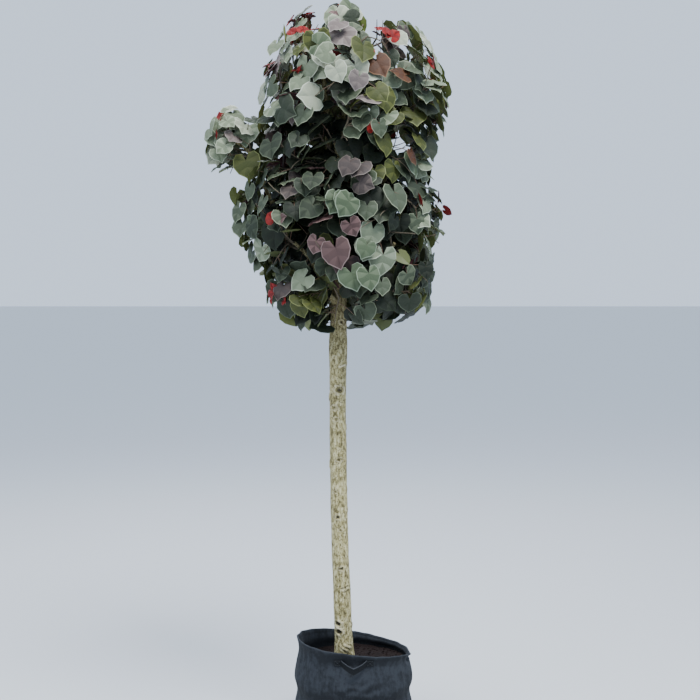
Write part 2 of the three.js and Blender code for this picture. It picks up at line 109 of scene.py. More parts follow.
for name, place, size, power in [
    ("key_light", (1.5, -2.2, 5.8), 2.0, 330),
    ("fill_light", (-3.0, -2.4, 4.4), 2.2, 90),
    ("back_light", (-1.0, 3.4, 5.0), 2.4, 120),
]:
    light = new_object(name, bpy.data.lights.new(name, "AREA"))
    light.data.size = size
    light.data.energy = power
    light.location = place
    light.rotation_euler = (LIGHTS_AIM - light.location).to_track_quat("-Z", "Y").to_euler()


# The grow bag: black needle-punched felt, sewn from one wide strip with a seam up its side and a
# hem round its mouth. The root ball fills it to just under the rim, which droops where nothing
# holds it up and is tucked in at one side.

BAG_PROFILE = [  # height, radius of the outer face
    (0.000, 0.170), (0.014, 0.192), (0.050, 0.201), (0.110, 0.203), (0.155, 0.196),
    (0.200, 0.207), (0.255, 0.199), (0.300, 0.190), (0.345, 0.195),
]
BAG_HEIGHT = BAG_PROFILE[-1][0]
BAG_WALL = 0.004
BAG_SIDES = 160
BAG_LEVELS = 52
FOOT_HEIGHT = 0.03  # the felt is smooth at its foot, where the load stretches it
RIM_SAG = 0.062
RIM_LOW = math.radians(35)
RIM_PINCH = (0.010, math.radians(2), 0.3)  # depth, azimuth, width in radians
SOIL_LEVEL = 0.255
HEM_HEIGHT = 0.016
HEM_STANDS = 0.0012
SEAM_AT = math.radians(-112)
SEAM_WIDTH = 0.006
SEAM_STANDS = 0.0022
# Folds in the felt: depth, how fine round the bag, how fine up it, place in the noise
FELT_FOLDS = [(0.0042, 2.1, 7, (0, 0)), (0.0036, 7, 3, (5, 0)), (0.0009, 19, 26, (0, 9))]
DRAPE = [(0.0035, 5, 5, (0, 3))]  # only where the felt hangs loose
DRAPE_FROM, DRAPE_OVER = 0.16, 0.12
# It bulges over the root ball under the front handle, and is tucked in at the corner beside it:
# how far it stands out, azimuth in degrees, half width in radians, height, half height
FELT_BULGES = [
    (0.008, -92, 0.30, 0.235, 0.030),
    (0.007, -4, 0.10, 0.335, 0.028),
    (-0.010, -4, 0.16, 0.285, 0.022),
    (0.006, -9.73, 0.12, 0.230, 0.035),
]
CRUMPLE = (0.008, -86.27, 0.42, 0.215, 0.055)


def smooth_rows(rows, at):
    """The value at a place along rows of (place, value), on a smooth line through them."""
    i = min(max(sum(row[0] < at for row in rows) - 1, 0), len(rows) - 2)
    before, a, b, after = rows[max(i - 1, 0)], *rows[i : i + 2], rows[min(i + 2, len(rows) - 1)]
    step = b[0] - a[0]
    t = min(max((at - a[0]) / step, 0), 1)
    slope_a = (b[1] - before[1]) / (b[0] - before[0]) * step
    slope_b = (after[1] - a[1]) / (after[0] - a[0]) * step
    straight = a[1] + (b[1] - a[1]) * (3 - 2 * t) * t * t
    return straight + t * (1 - t) * ((1 - t) * slope_a - t * slope_b)


def bump_at(distance, width):
    return math.exp(-((distance / width) ** 2))


def turn_between(a, b):
    return (a - b + math.pi) % (2 * math.pi) - math.pi


def layered_noise(layers, azimuth, height):
    """Noise round an upright piece, from layers laid out as the felt's folds are."""
    ring = Vector((math.cos(azimuth), math.sin(azimuth), 0))
    return sum(
        depth * noise.noise(ring * round_it + Vector((*aside, height * up)))
        for depth, round_it, up, aside in layers
    )


def rim_height(azimuth):
    depth, at, width = RIM_PINCH
    pinch = depth * bump_at(turn_between(azimuth, at), width)
    return BAG_HEIGHT - RIM_SAG * (0.5 + 0.5 * math.cos(azimuth - RIM_LOW)) ** 1.3 - pinch


def sagged(height, azimuth):
    """Above the soil the wall is drawn down to the drooping rim."""
    if height <= SOIL_LEVEL:
        return height
    share = (height - SOIL_LEVEL) / (BAG_HEIGHT - SOIL_LEVEL)
    return SOIL_LEVEL + share * (rim_height(azimuth) - SOIL_LEVEL)


def select_only(*pieces):
    bpy.ops.object.select_all(action="DESELECT")
    for piece in pieces:
        piece.select_set(True)
    bpy.context.view_layer.objects.active = pieces[0]


def close_mesh(piece, merge_within=0):
    """Merges a piece's doubled points and turns its faces outwards."""
    select_only(piece)
    bpy.ops.object.mode_set(mode="EDIT")
    bpy.ops.mesh.select_all(action="SELECT")
    if merge_within:
        bpy.ops.mesh.remove_doubles(threshold=merge_within)
    bpy.ops.mesh.normals_make_consistent(inside=False)
    bpy.ops.object.mode_set(mode="OBJECT")


def turned(name, points, steps):
    """Points (radius, height) joined edge by edge and spun round the upright axis."""
    bpy.ops.object.select_all(action="DESELECT")
    bpy.ops.mesh.primitive_plane_add(size=0.001, location=(points[0][0], 0, points[0][1]))
    piece = bpy.context.object
    piece.name = name
    bpy.ops.object.transform_apply(location=True)
    bpy.ops.object.mode_set(mode="EDIT")
    bpy.ops.mesh.select_mode(type="VERT")
    bpy.ops.mesh.select_all(action="SELECT")
    bpy.ops.mesh.merge(type="CENTER")
    for (r0, z0), (r1, z1) in zip(points, points[1:]):
        bpy.ops.mesh.extrude_region_move(TRANSFORM_OT_translate={"value": (r1 - r0, 0, z1 - z0)})
    bpy.ops.mesh.select_all(action="SELECT")
    bpy.ops.mesh.spin(steps=steps, angle=2 * math.pi, center=(0, 0, 0), axis=(0, 0, 1))
    bpy.ops.object.mode_set(mode="OBJECT")
    close_mesh(piece, 0.00005)
    return piece


def felt_bulge(row, azimuth, height):
    stands, middle, width, level, half_height = row
    sideways = turn_between(azimuth, math.radians(middle))
    return stands * bump_at(sideways, width) * bump_at(height - level, half_height)


def bag_relief(azimuth, height):
    """How far the felt stands out from its profile at a place."""
    loose = min(max((height - DRAPE_FROM) / DRAPE_OVER, 0), 1)
    out = layered_noise(FELT_FOLDS, azimuth, height) + loose * layered_noise(DRAPE, azimuth, height)
    out += sum(felt_bulge(row, azimuth, height) for row in FELT_BULGES)
    crumpled = noise.noise(Vector((azimuth * 5, 4, height * 48)))
    out += crumpled * felt_bulge(CRUMPLE, azimuth, height)
    out += SEAM_STANDS * bump_at(turn_between(azimuth, SEAM_AT) * 0.2, SEAM_WIDTH)
    return out * min(height / FOOT_HEIGHT, 1)


levels = [BAG_HEIGHT * (i / BAG_LEVELS) ** 0.95 for i in range(BAG_LEVELS + 1)]
outer = [(smooth_rows(BAG_PROFILE, z), z) for z in levels]
inner = [(r - BAG_WALL, max(z, BAG_WALL)) for r, z in outer if z > BAG_WALL / 2]
mouth = [(outer[-1][0] - 0.4 * BAG_WALL, BAG_HEIGHT + 0.0006)]
underside = [(r, 0) for r in (0, 0.05, 0.1, 0.14)]
floor_inside = [(0.1, BAG_WALL), (0, BAG_WALL)]
bag = turned("felt_bag", underside + outer + mouth + inner[::-1] + floor_inside, BAG_SIDES)
for vertex in bag.data.vertices:
    x, y, z = vertex.co
    radius = math.hypot(x, y)
    if z < 0.001 or radius < 0.1:
        continue
    azimuth = math.atan2(y, x)
    hem = HEM_STANDS * min(max((z - BAG_HEIGHT + HEM_HEIGHT) / 0.002, 0), 1)
    outward = 1 if radius > smooth_rows(BAG_PROFILE, z) - 0.3 * BAG_WALL else -1
    radius += bag_relief(azimuth, z) + outward * hem
    vertex.co = (radius * math.cos(azimuth), radius * math.sin(azimuth), sagged(z, azimuth))
select_only(bag)
subdivision = bag.modifiers.new("subdivision", "SUBSURF")
subdivision.levels = subdivision.render_levels = 1
bpy.ops.object.modifier_apply(modifier=subdivision.name)
bpy.ops.object.shade_smooth()
dust = bag.data.attributes.new("felt_dust", "FLOAT", "POINT")
for vertex in bag.data.vertices:
    dust.data[vertex.index].value = min(max(2.5 * vertex.normal.z, -1), 1)


def add_node(tree, kind, inputs, output=0, **settings):
    """Adds a shader node with its settings and inputs, and returns one of its outputs."""
    made = tree.nodes.new("ShaderNode" + kind)
    for name, value in settings.items():
        setattr(made, name, value)
    feed(tree, made, inputs)
    return made.outputs[output]


# Black polypropylene felt, needle-punched: rough and matt, greyed by dust, which lies in clouds of
# 25 mm and on whatever looks up, and by dried splashes that run down it in streaks.
felt, tree, shader = new_material("needle_punched_felt", "#1f2226", 0.95, 0.25)
place = add_node(tree, "TexCoord", {}, "Object")
fibres = add_node(tree, "TexNoise", {"Vector": place, "Scale": 700, "Detail": 4})
tall = add_node(tree, "Mapping", {"Vector": place, "Scale": (120, 120, 13)})
streaks = add_node(tree, "TexNoise", {"Vector": tall, "Scale": 1, "Detail": 4})
cloudy = {"Vector": place, "Scale": 40, "Detail": 9, "Roughness": 0.72}
clouds = add_node(tree, "TexNoise", cloudy)
lying = add_node(tree, "Attribute", {}, "Fac", attribute_name="felt_dust")
dusty = 0
for pattern, share in [(clouds, 0.72), (streaks, 0.28), (lying, 0.12)]:
    dusty = add_node(tree, "Math", {0: pattern, 1: share, 2: dusty}, operation="MULTIPLY_ADD")
dusted = add_node(tree, "MapRange", {"Value": dusty, "From Min": 0.44, "From Max": 0.62})
colour = linear("#101215")
for share, over in [(dusted, "#35393f"), (fibres, "#26292d")]:
    colour = add_node(tree, "Mix", {0: share, 6: colour, 7: linear(over)}, 2, data_type="RGBA")
nap = add_node(tree, "Bump", {"Height": fibres, "Strength": 0.5, "Distance": 0.0012})
feed(tree, shader, {"Base Color": colour, "Normal": nap})
bag.data.materials.append(felt)
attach(bag, "root")
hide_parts("grow_bag")


# The handles: polypropylene webbing, 22 mm wide, each sewn on below the rim by its two ends with
# a boxed cross of thread, its free loop sagging in a shallow V.

HANDLE_SPAN = 0.076
HANDLE_TAB = 0.020
HANDLE_WIDTH = 0.022
HANDLE_THICK = 0.0024
HANDLE_BELOW_RIM = 0.019
HANDLE_DROOP = 0.017
HANDLE_STAND_OFF = 0.026
HANDLE_EDGE = 0.0004
HANDLE_ARC = 0.17  # the radius of the arc that the straps are laid out along
LIT_EDGE_REACH = 0.32  # reach of the edge's painted highlight, as a share of the strap's length
STRAP_STEPS = 60
STITCHES_INSET = 0.002
THREAD_RADIUS = 0.0005


def wall_radius(azimuth, height):
    share = (height - SOIL_LEVEL) / (rim_height(azimuth) - SOIL_LEVEL)
    level = SOIL_LEVEL + share * (BAG_HEIGHT - SOIL_LEVEL)
    return smooth_rows(BAG_PROFILE, level) + bag_relief(azimuth, level)


def on_strap(azimuth, along, across, proud):
    """A place on the strap: along it from its middle, across it from its upper edge."""
    free = max(0, 1 - abs(along) / (HANDLE_SPAN / 2))
    stand = HANDLE_EDGE + HANDLE_STAND_OFF * math.sin(free * math.pi / 2) ** 0.8
    turn = azimuth + along / HANDLE_ARC
    ends = rim_height(azimuth) - HANDLE_BELOW_RIM
    height = ends - HANDLE_DROOP * free**1.2 - across
    radius = wall_radius(turn, min(height, BAG_HEIGHT - 0.005)) + stand + proud
    return Vector((radius * math.cos(turn), radius * math.sin(turn), height))


def mesh_piece(name, vertices, faces):
    mesh = bpy.data.meshes.new(name)
    mesh.from_pydata([tuple(v) for v in vertices], [], faces)
    mesh.update()
    return new_object(name, mesh)


# The strap's section, with softened edges: place across it, and out from the bag as a share
# of its thickness. Its first three edges are the upper one, which gets a painted highlight.
STRAP_SECTION = [(HANDLE_EDGE, 0), (0, 0.5), (HANDLE_EDGE, 1)]
STRAP_SECTION += [(HANDLE_WIDTH * s, 1 + 0.1 * math.sin(6 * s)) for s in (0.15, 0.38, 0.62, 0.85)]
STRAP_SECTION += [(HANDLE_WIDTH - HANDLE_EDGE, 1), (HANDLE_WIDTH, 0.5)]
STRAP_SECTION += [(HANDLE_WIDTH - HANDLE_EDGE, 0)]
STRAP_SECTION += [(HANDLE_WIDTH * s, 0) for s in (0.75, 0.5, 0.25)]


def ring_faces(first, rings, sides):
    """The faces of a closed tube of rings of points."""
    last = first + (rings - 1) * sides
    faces = []
    for ring in range(first, last, sides):
        pairs = [(ring + i, ring + (i + 1) % sides) for i in range(sides)]
        faces += [(a, b, b + sides, a + sides) for a, b in pairs]
    return faces + [tuple(range(first, first + sides))[::-1], tuple(range(last, last + sides))]


def strap(name, azimuth):
    """The strap's skin, ring by ring along it."""
    half = HANDLE_SPAN / 2 + HANDLE_TAB
    vertices = [
        on_strap(azimuth, -half + 2 * half * k / STRAP_STEPS, across, HANDLE_THICK * out)
        for k in range(STRAP_STEPS + 1)
        for across, out in STRAP_SECTION
    ]
    piece = mesh_piece(name, vertices, ring_faces(0, STRAP_STEPS + 1, len(STRAP_SECTION)))
    close_mesh(piece)
    bpy.ops.object.shade_smooth_by_angle(angle=math.radians(50))
    return piece


def stitch_lines(azimuth):
    """The boxed cross on each sewn end, as lines of places on the strap's face."""
    lines = []
    for end in (-1, 1):
        inner_edge = end * (HANDLE_SPAN / 2 + STITCHES_INSET)
        outer_edge = end * (HANDLE_SPAN / 2 + HANDLE_TAB - STITCHES_INSET)
        low, high = HANDLE_WIDTH - 0.003, 0.003
        corners = [(inner_edge, high), (outer_edge, high), (outer_edge, low), (inner_edge, low)]
        pairs = list(zip(corners, corners[1:] + corners[:1]))
        pairs += [(corners[0], corners[2]), (corners[1], corners[3])]
        for (a0, c0), (a1, c1) in pairs:
            steps = [(a0 + (a1 - a0) * t / 5, c0 + (c1 - c0) * t / 5) for t in range(6)]
            lines.append([on_strap(azimuth, a, c, 1.08 * HANDLE_THICK) for a, c in steps])
    return lines


def tubes(paths, sides):
    """Closed tubes round paths of (point, radius) rows, as vertices and faces."""
    vertices, faces = [], []
    for path in paths:
        faces += ring_faces(len(vertices), len(path), sides)
        whole = (path[-1][0] - path[0][0]).normalized()
        along_x = abs(whole.x) < abs(whole.y) or abs(whole.z) > 0.95
        reference = Vector((1, 0, 0)) if along_x else Vector((0, 1, 0))
        for k, (middle, radius) in enumerate(path):
            before, after = path[max(k - 1, 0)][0], path[min(k + 1, len(path) - 1)][0]
            along = (after - before).normalized()
            side = reference.cross(along).normalized()
            over = along.cross(side)
            for i in range(sides):
                angle = 2 * math.pi * i / sides
                vertices.append(middle + radius * (math.cos(angle) * side + math.sin(angle) * over))
    return vertices, faces


# Woven polypropylene tape: ribs of some 2 mm across it and rows along it, a little smoother than
# the felt. Sewn with waxed thread; its upper edge is painted pale grey as a painted highlight.
webbing, tree, shader = new_material("polypropylene_webbing", "#121416", 0.85, 0.2)
place = add_node(tree, "TexCoord", {}, "Object")
across = {"Vector": place, "Scale": 160, "Distortion": 1.5, "Detail": 2}
ribs = add_node(tree, "TexWave", across, "Fac", bands_direction="X")
lengthwise = {"Vector": place, "Scale": 120, "Distortion": 1.0}
rows = add_node(tree, "TexWave", lengthwise, "Fac", bands_direction="Z")
weave = add_node(tree, "Math", {0: ribs, 1: rows}, operation="MULTIPLY")
tones = {0: weave, 6: linear("#0c0e10"), 7: linear("#1c1f23")}
worn = add_node(tree, "Mix", tones, 2, data_type="RGBA")
relief = add_node(tree, "Bump", {"Height": weave, "Strength": 0.5, "Distance": 0.0006})
feed(tree, shader, {"Base Color": worn, "Normal": relief})
thread = new_material("waxed_thread", "#202327", 0.7)[0]
# pale grey for the upper edge, which faces up: a painted highlight
painted_lit_edge = new_material("webbing_edge_painted_highlight", "#34373b", 0.9)[0]

for name, node_name, azimuth in [
    ("front_strap", "front_handle", -math.pi / 2),
    ("back_strap", "back_handle", math.pi / 2),
]:
    piece = strap(name, azimuth)
    piece.data.materials.append(webbing)
    piece.data.materials.append(painted_lit_edge)
    for face in piece.data.polygons:
        step, edge = divmod(face.index, len(STRAP_SECTION))
        # the upper edge's faces near the middle take the painted highlight
        if edge < 3 and abs(step / STRAP_STEPS - 0.5) < LIT_EDGE_REACH:
            face.material_index = 1
    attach(piece, "root")
    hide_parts(node_name)
    paths = [[(p, THREAD_RADIUS) for p in line] for line in stitch_lines(azimuth)]
    stitches = mesh_piece(name + "_stitches", *tubes(paths, 5))
    stitches.data.materials.append(thread)
    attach(stitches, "root")


# The root ball: reddish potting soil bound by roots, pressed to the bag's wall, crumbly on top
# and a little heaped round the stem.

SOIL_INSET = BAG_WALL + 0.0015
SOIL_RINGS = 44
CRUMBS = 420
CRUMB_SIZE = (0.0015, 0.005)
CRUMBS_OFF_WALL = 0.012
CRUMBS_OFF_STEM = 0.042
TRUNK_FOOT_X = -0.031


def soil_height(x, y):
    rough = 0.0045 * noise.noise(Vector((x * 28, y * 28, 0)))
    fine = 0.0022 * noise.noise(Vector((x * 90, y * 90, 4)))
    heap = 0.006 * bump_at(math.hypot(x - TRUNK_FOOT_X, y), 0.075)
    return SOIL_LEVEL - 0.004 + rough + fine + heap


side_levels = [z for z in levels if SOIL_INSET < z < SOIL_LEVEL - 0.008]
sides = [(0, SOIL_INSET)]
sides += [(smooth_rows(BAG_PROFILE, z) - SOIL_INSET - 0.004, z) for z in side_levels[::3]]
edge = smooth_rows(BAG_PROFILE, SOIL_LEVEL) - SOIL_INSET - 0.002
top = [(edge * (1 - i / SOIL_RINGS), SOIL_LEVEL) for i in range(SOIL_RINGS + 1)]
soil_ball = turned("potting_soil", sides + top, 120)
for vertex in soil_ball.data.vertices:
    x, y, z = vertex.co
    if z > SOIL_LEVEL - 0.0005:
        vertex.co.z = soil_height(x, y)
bpy.ops.object.shade_smooth()

# Moist peat and bark fines: crumbs of 3 mm in patches of 25 mm that are damper and darker.
# All its colours are darkened further as painted shade inside the bag.
soil, tree, shader = new_material("moist_soil_painted_shade", "#21150f", 0.98, 0.2)
place = add_node(tree, "TexCoord", {}, "Object")
grains = add_node(tree, "TexNoise", {"Vector": place, "Scale": 320, "Detail": 5})
patches = add_node(tree, "TexNoise", {"Vector": place, "Scale": 40, "Detail": 4})
colour = linear("#0e0a09")
for share, over in [(patches, "#281a16"), (grains, "#191110")]:
    colour = add_node(tree, "Mix", {0: share, 6: colour, 7: linear(over)}, 2, data_type="RGBA")
gritty = add_node(tree, "Bump", {"Height": grains, "Strength": 0.9, "Distance": 0.003})
feed(tree, shader, {"Base Color": colour, "Normal": gritty})
soil_ball.data.materials.append(soil)
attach(soil_ball, "root")
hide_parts("root_ball")

# chance, by the same generator as the part's own source
seed = 5


def chance():
    global seed
    seed = (seed * 1664525 + 1013904223) & 0xFFFFFFFF
    return seed / 4294967296


def between(low, high):
    return low + (high - low) * chance()


def jitter(size):
    return Vector((between(-size, size), between(-size, size), between(-size, size)))


# The loose crumbs: one small ball, copied at chance sizes and places, its corners pushed about
bpy.ops.object.select_all(action="DESELECT")
bpy.ops.mesh.primitive_ico_sphere_add(subdivisions=1, radius=1)
ball = bpy.context.object
crumb_vertices = [v.co.copy() for v in ball.data.vertices]
crumb_faces = [tuple(p.vertices) for p in ball.data.polygons]
bpy.data.objects.remove(ball)
vertices, faces = [], []
while len(faces) < CRUMBS * len(crumb_faces):
    x, y = between(-edge, edge), between(-edge, edge)
    beside_stem = math.hypot(x - TRUNK_FOOT_X, y) < CRUMBS_OFF_STEM
    if math.hypot(x, y) > edge - CRUMBS_OFF_WALL or beside_stem:
        continue
    size = between(*CRUMB_SIZE)
    shape = Vector((1, between(0.6, 1), between(0.45, 0.8))) * size
    middle = Vector((x, y, soil_height(x, y) + 0.2 * size))
    first = len(vertices)
    vertices += [middle + (v + jitter(0.25)) * shape for v in crumb_vertices]
    faces += [tuple(first + i for i in f) for f in crumb_faces]
crumbs = mesh_piece("soil_crumbs", vertices, faces)
crumbs.data.materials.append(soil)
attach(crumbs, "root")


# The stem: one straight trunk of smooth grey-tan bark, dotted with pores. It leans and bows a
# little, flares at the soil, and carries the round scars of side shoots that were pruned away.

TRUNK_FOOT = 0.2553
TRUNK_FORK = 1.740
TRUNK_LEAN = -0.015
TRUNK_BOW = 0.015
TRUNK_RADIUS = 0.0305
TRUNK_TAPER = 0.0025
TRUNK_TOP_TAPER = 0.003
TRUNK_STEPS = 560
ROOT_FLARE = 0.007
ROOT_FLARE_HEIGHT = 0.045
COLLAR_SWELL = 0.0035
COLLAR_HEIGHT = 1.345
COLLAR_SPREAD = 0.070

SCARS = [  # height, azimuth in degrees, radius, how far its lip stands out, depth of its pit
    (1.438, -69, 0.009, 0.0016, 0.004), (1.317, -113, 0.006, 0.0014, 0.002),
    (1.204, -78, 0.017, 0.0034, 0.004), (1.143, -114, 0.011, 0.0022, 0.003),
    (1.103, -104, 0.009, 0.0026, 0.003), (0.963, -81, 0.010, 0.0018, 0.003),
    (0.852, -110, 0.006, 0.0014, 0.003), (0.786, -18, 0.007, 0.0026, 0.003),
    (0.764, -101, 0.011, 0.0024, 0.005), (0.755, -33, 0.006, 0.0020, 0.003),
    (0.718, -82, 0.006, 0.0014, 0.003), (0.584, -85, 0.010, 0.0022, 0.005),
    (0.391, -125, 0.013, 0.0030, 0.010), (0.363, -118, 0.013, 0.0030, 0.011),
    (0.377, -122, 0.008, 0.0000, -0.004), (0.383, -8, 0.007, 0.0036, 0.001),
]
HIDDEN_SCARS = 15  # round the back
PIT_TONE = 0.0035  # the depth at which a scar's pit is painted darkest, as painted shade
BURR = (0.310, -77, 0.026, 0.0100)  # height, azimuth in degrees, radius, how far it stands out
BURR_FOLDS = 480  # radians of their wave to a metre
RINGS = [  # scars that run part of the way round: height, azimuth in degrees, how far, tone
    (1.287, -59, 0.55, 1.6),
    (0.519, -62, 0.60, -1.1),
    (0.505, -56, 0.50, -1.2),
    (0.512, -66, 0.70, 0.6),
]
RING_WIDTH = 0.0022
RING_STANDS = 0.0008
# Lumps, ripples and pores, as layers of noise
BARK_RELIEF = [(0.0017, 1.3, 9, (0, 0)), (0.0008, 3.5, 55, (2, 0)), (0.00055, 9, 230, (0, 7))]


def trunk_middle(height):
    t = (height - TRUNK_FOOT) / (TRUNK_FORK - TRUNK_FOOT)
    bow = math.sin(math.pi * t)
    return Vector((TRUNK_FOOT_X + TRUNK_LEAN * t - TRUNK_BOW * bow, 0.5 * TRUNK_BOW * bow, height))


def root_flare(height):
    return ROOT_FLARE * math.exp(-(height - TRUNK_FOOT) / ROOT_FLARE_HEIGHT)


def trunk_radius(height):
    t = (height - TRUNK_FOOT) / (TRUNK_FORK - TRUNK_FOOT)
    collar = COLLAR_SWELL * bump_at(height - COLLAR_HEIGHT, COLLAR_SPREAD)
    taper = TRUNK_RADIUS - TRUNK_TAPER * t - TRUNK_TOP_TAPER * t**6
    return taper + root_flare(height) + collar


seed = 11
scars = list(SCARS)
for i in range(HIDDEN_SCARS):
    height = TRUNK_FOOT + 0.1 + (i + chance()) * 1.2 / HIDDEN_SCARS
    scars.append((height, between(0, 180), between(0.006, 0.014), between(0.0015, 0.003), 0.004))


def bark_at(azimuth, height):
    """How far the bark stands out at a place, and whether it is dark (below 0) or pale there."""
    out, tone = layered_noise(BARK_RELIEF, azimuth, height), 0
    around = trunk_radius(height)
    for level, middle, radius, lip, depth in scars:
        up = height - level
        if abs(up) > 2.5 * radius:
            continue
        side = turn_between(azimuth, math.radians(middle)) * around
        uneven = 1 + 0.5 * noise.noise(Vector((side * 160, up * 160, level * 9)))
        away = math.hypot(side, up * 1.25) * uneven
        rim, pit = bump_at(away - radius, 0.35 * radius), bump_at(away, 0.5 * radius)
        rings = 0.3 * math.sin(away / radius * 7) * bump_at(away, radius)
        out += lip * (rim + rings) - depth * pit
        crack = bump_at(away - 0.68 * radius, 0.2 * radius)
        # pale lips and dark cracks; the pits are painted dark by their depth, as painted shade
        tone += 0.75 * rim - depth / PIT_TONE * pit - 0.5 * crack
    level, middle, radius, stands = BURR
    side, up = turn_between(azimuth, math.radians(middle)) * around, height - level
    away = math.hypot(side, up * 1.1)
    if away < 3 * radius:
        # its folds run slanting down to the right, with a narrow groove between each two;
        # the grooves are painted dark as painted shade, the folds paler
        along, across = (side - up) * 0.7, (side + up) * 0.7
        phase = across * BURR_FOLDS + 3.5 * noise.noise(Vector((along * 45, across * 45, 1)))
        groove = (0.5 + 0.5 * math.cos(phase)) ** 3
        out += stands * bump_at(away, 0.8 * radius) * (1 - 0.6 * groove)
        tone += bump_at(away, 0.9 * radius) * (0.6 - 1.9 * groove)
    for level, middle, reach, ring_tone in RINGS:
        sideways = turn_between(azimuth, math.radians(middle))
        ends = min(max((reach - abs(sideways)) / 0.15, 0), 1)
        weal = bump_at(height - level - 0.003 * math.sin(4 * sideways), RING_WIDTH) * ends
        out, tone = out + RING_STANDS * ring_tone * weal, tone + ring_tone * weal
    return out + 0.25 * root_flare(height) * math.cos(5 * azimuth + 1), tone


def limb_mesh(name, path, resolution):
    """A limb drawn as a curve with a radius at each point, and made a closed mesh."""
    line = bpy.data.curves.new(name, "CURVE")
    line.dimensions = "3D"
    line.bevel_depth = 1
    line.bevel_resolution = resolution
    line.use_fill_caps = True
    spline = line.splines.new("POLY")
    spline.points.add(len(path) - 1)
    for point, (middle, radius) in zip(spline.points, path):
        point.co = (*middle, 1)
        point.radius = radius
    select_only(new_object(name, line))
    bpy.ops.object.convert(target="MESH")
    piece = bpy.context.object
    close_mesh(piece, 0.00002)
    bpy.ops.object.shade_smooth_by_angle(angle=math.radians(70))
    return piece


heights = [TRUNK_FOOT + (TRUNK_FORK - TRUNK_FOOT) * i / TRUNK_STEPS for i in range(TRUNK_STEPS + 1)]
stem_bark = limb_mesh("stem_bark", [(trunk_middle(z), trunk_radius(z)) for z in heights], 23)
tones = stem_bark.data.attributes.new("bark_marks_and_painted_shade", "FLOAT", "POINT")
for vertex in stem_bark.data.vertices:
    out = vertex.co - trunk_middle(vertex.co.z)
    if out.length > 0.5 * TRUNK_RADIUS:
        stands, tone = bark_at(math.atan2(out.y, out.x), vertex.co.z)
        vertex.co += out.normalized() * stands
        tones.data[vertex.index].value = tone

# Smooth young bark, grey-tan and thinly barred with cork. Cream flakes and dark pores of 3 to
# 8 mm mottle it, and its scars have pale lips. Painted shade darkens the bark between the flakes,
# in the scars' pits and the burr's grooves, and under the head, where it is browner as well.
bark, tree, shader = new_material("smooth_young_bark", "#a0946a", 0.85, 0.3)
place = add_node(tree, "TexCoord", {}, "Object")
long_way = add_node(tree, "Mapping", {"Vector": place, "Scale": (1, 1, 0.42)})
broad = add_node(tree, "TexNoise", {"Vector": long_way, "Scale": 22, "Detail": 5})
flaking = {"Vector": long_way, "Scale": 130, "Detail": 5, "Roughness": 0.65}
flaky = add_node(tree, "TexNoise", flaking)
flat_way = add_node(tree, "Mapping", {"Vector": place, "Scale": (1, 1, 1.7)})
pores = add_node(tree, "TexVoronoi", {"Vector": flat_way, "Scale": 115})
upwards = add_node(tree, "SeparateXYZ", {0: place}, "Z")
tone_and_shade = add_node(tree, "Attribute", {}, "Fac", attribute_name="bark_marks_and_painted_shade")
ground = {0: broad, 6: linear("#7d744a"), 7: linear("#b7ad7b")}
colour = add_node(tree, "Mix", ground, 2, data_type="RGBA")
masks = []
for pattern, start, full, most, over in [  # where a pattern starts to show and does fully
    (flaky, 0.50, 0.62, 0.75, "#d5cea5"),
    # the ground between the flakes, low in their relief, is painted darker as painted shade
    (flaky, 0.48, 0.38, 0.90, "#4c432a"),
    (pores, 0.34, 0.16, 1.00, "#4a3d28"),
    # darker and browner under the head: painted shade of the head
    (upwards, 1.15, 1.50, 0.36, "#5b4e39"),
    (tone_and_shade, 0.15, 1.00, 0.80, "#ddd3b4"),
    # low tone, painted near black: painted shade in the scars' pits and the burr's grooves
    (tone_and_shade, -0.15, -0.90, 0.92, "#221a12"),
]:
    reach = {"Value": pattern, "From Min": start, "From Max": full, "To Max": most}
    masks.append(add_node(tree, "MapRange", reach))
    laid = {0: masks[-1], 6: colour, 7: linear(over)}
    colour = add_node(tree, "Mix", laid, 2, data_type="RGBA")
cork = add_node(tree, "Bump", {"Height": flaky, "Strength": 0.7, "Distance": 0.0022})
pits = {"Height": masks[2], "Strength": 0.5, "Distance": 0.0012, "Normal": cork}
pitted = add_node(tree, "Bump", pits, invert=True)
feed(tree, shader, {"Base Color": colour, "Normal": pitted})
stem_bark.data.materials.append(bark)
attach(stem_bark, "root")
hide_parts("trunk")


# The head's limbs: boughs leave the top of the stem low and turn upwards, and each goes on as
# the leader of one mass of foliage, which branches into twigs. They are as in the part's source.

HEAD_OUTLINE = [  # height, sideways place of its middle, radius
    (1.395, -0.025, 0.170), (1.480, -0.012, 0.290), (1.600, -0.005, 0.335),
    (1.750, -0.040, 0.372), (1.880, -0.060, 0.366), (2.000, -0.031, 0.332),
    (2.100, -0.015, 0.342), (2.200, 0.015, 0.360), (2.310, 0.000, 0.328),
    (2.400, -0.015, 0.272), (2.460, -0.020, 0.205), (2.530, -0.022, 0.095),
]
HEAD_MIDDLE = Vector((-0.030, 0, 1.950))
SPRAY_MIDDLE = Vector((-0.434, -0.020, 2.045))
SPRAY_REACH = Vector((0.078, 0.118, 0.132))

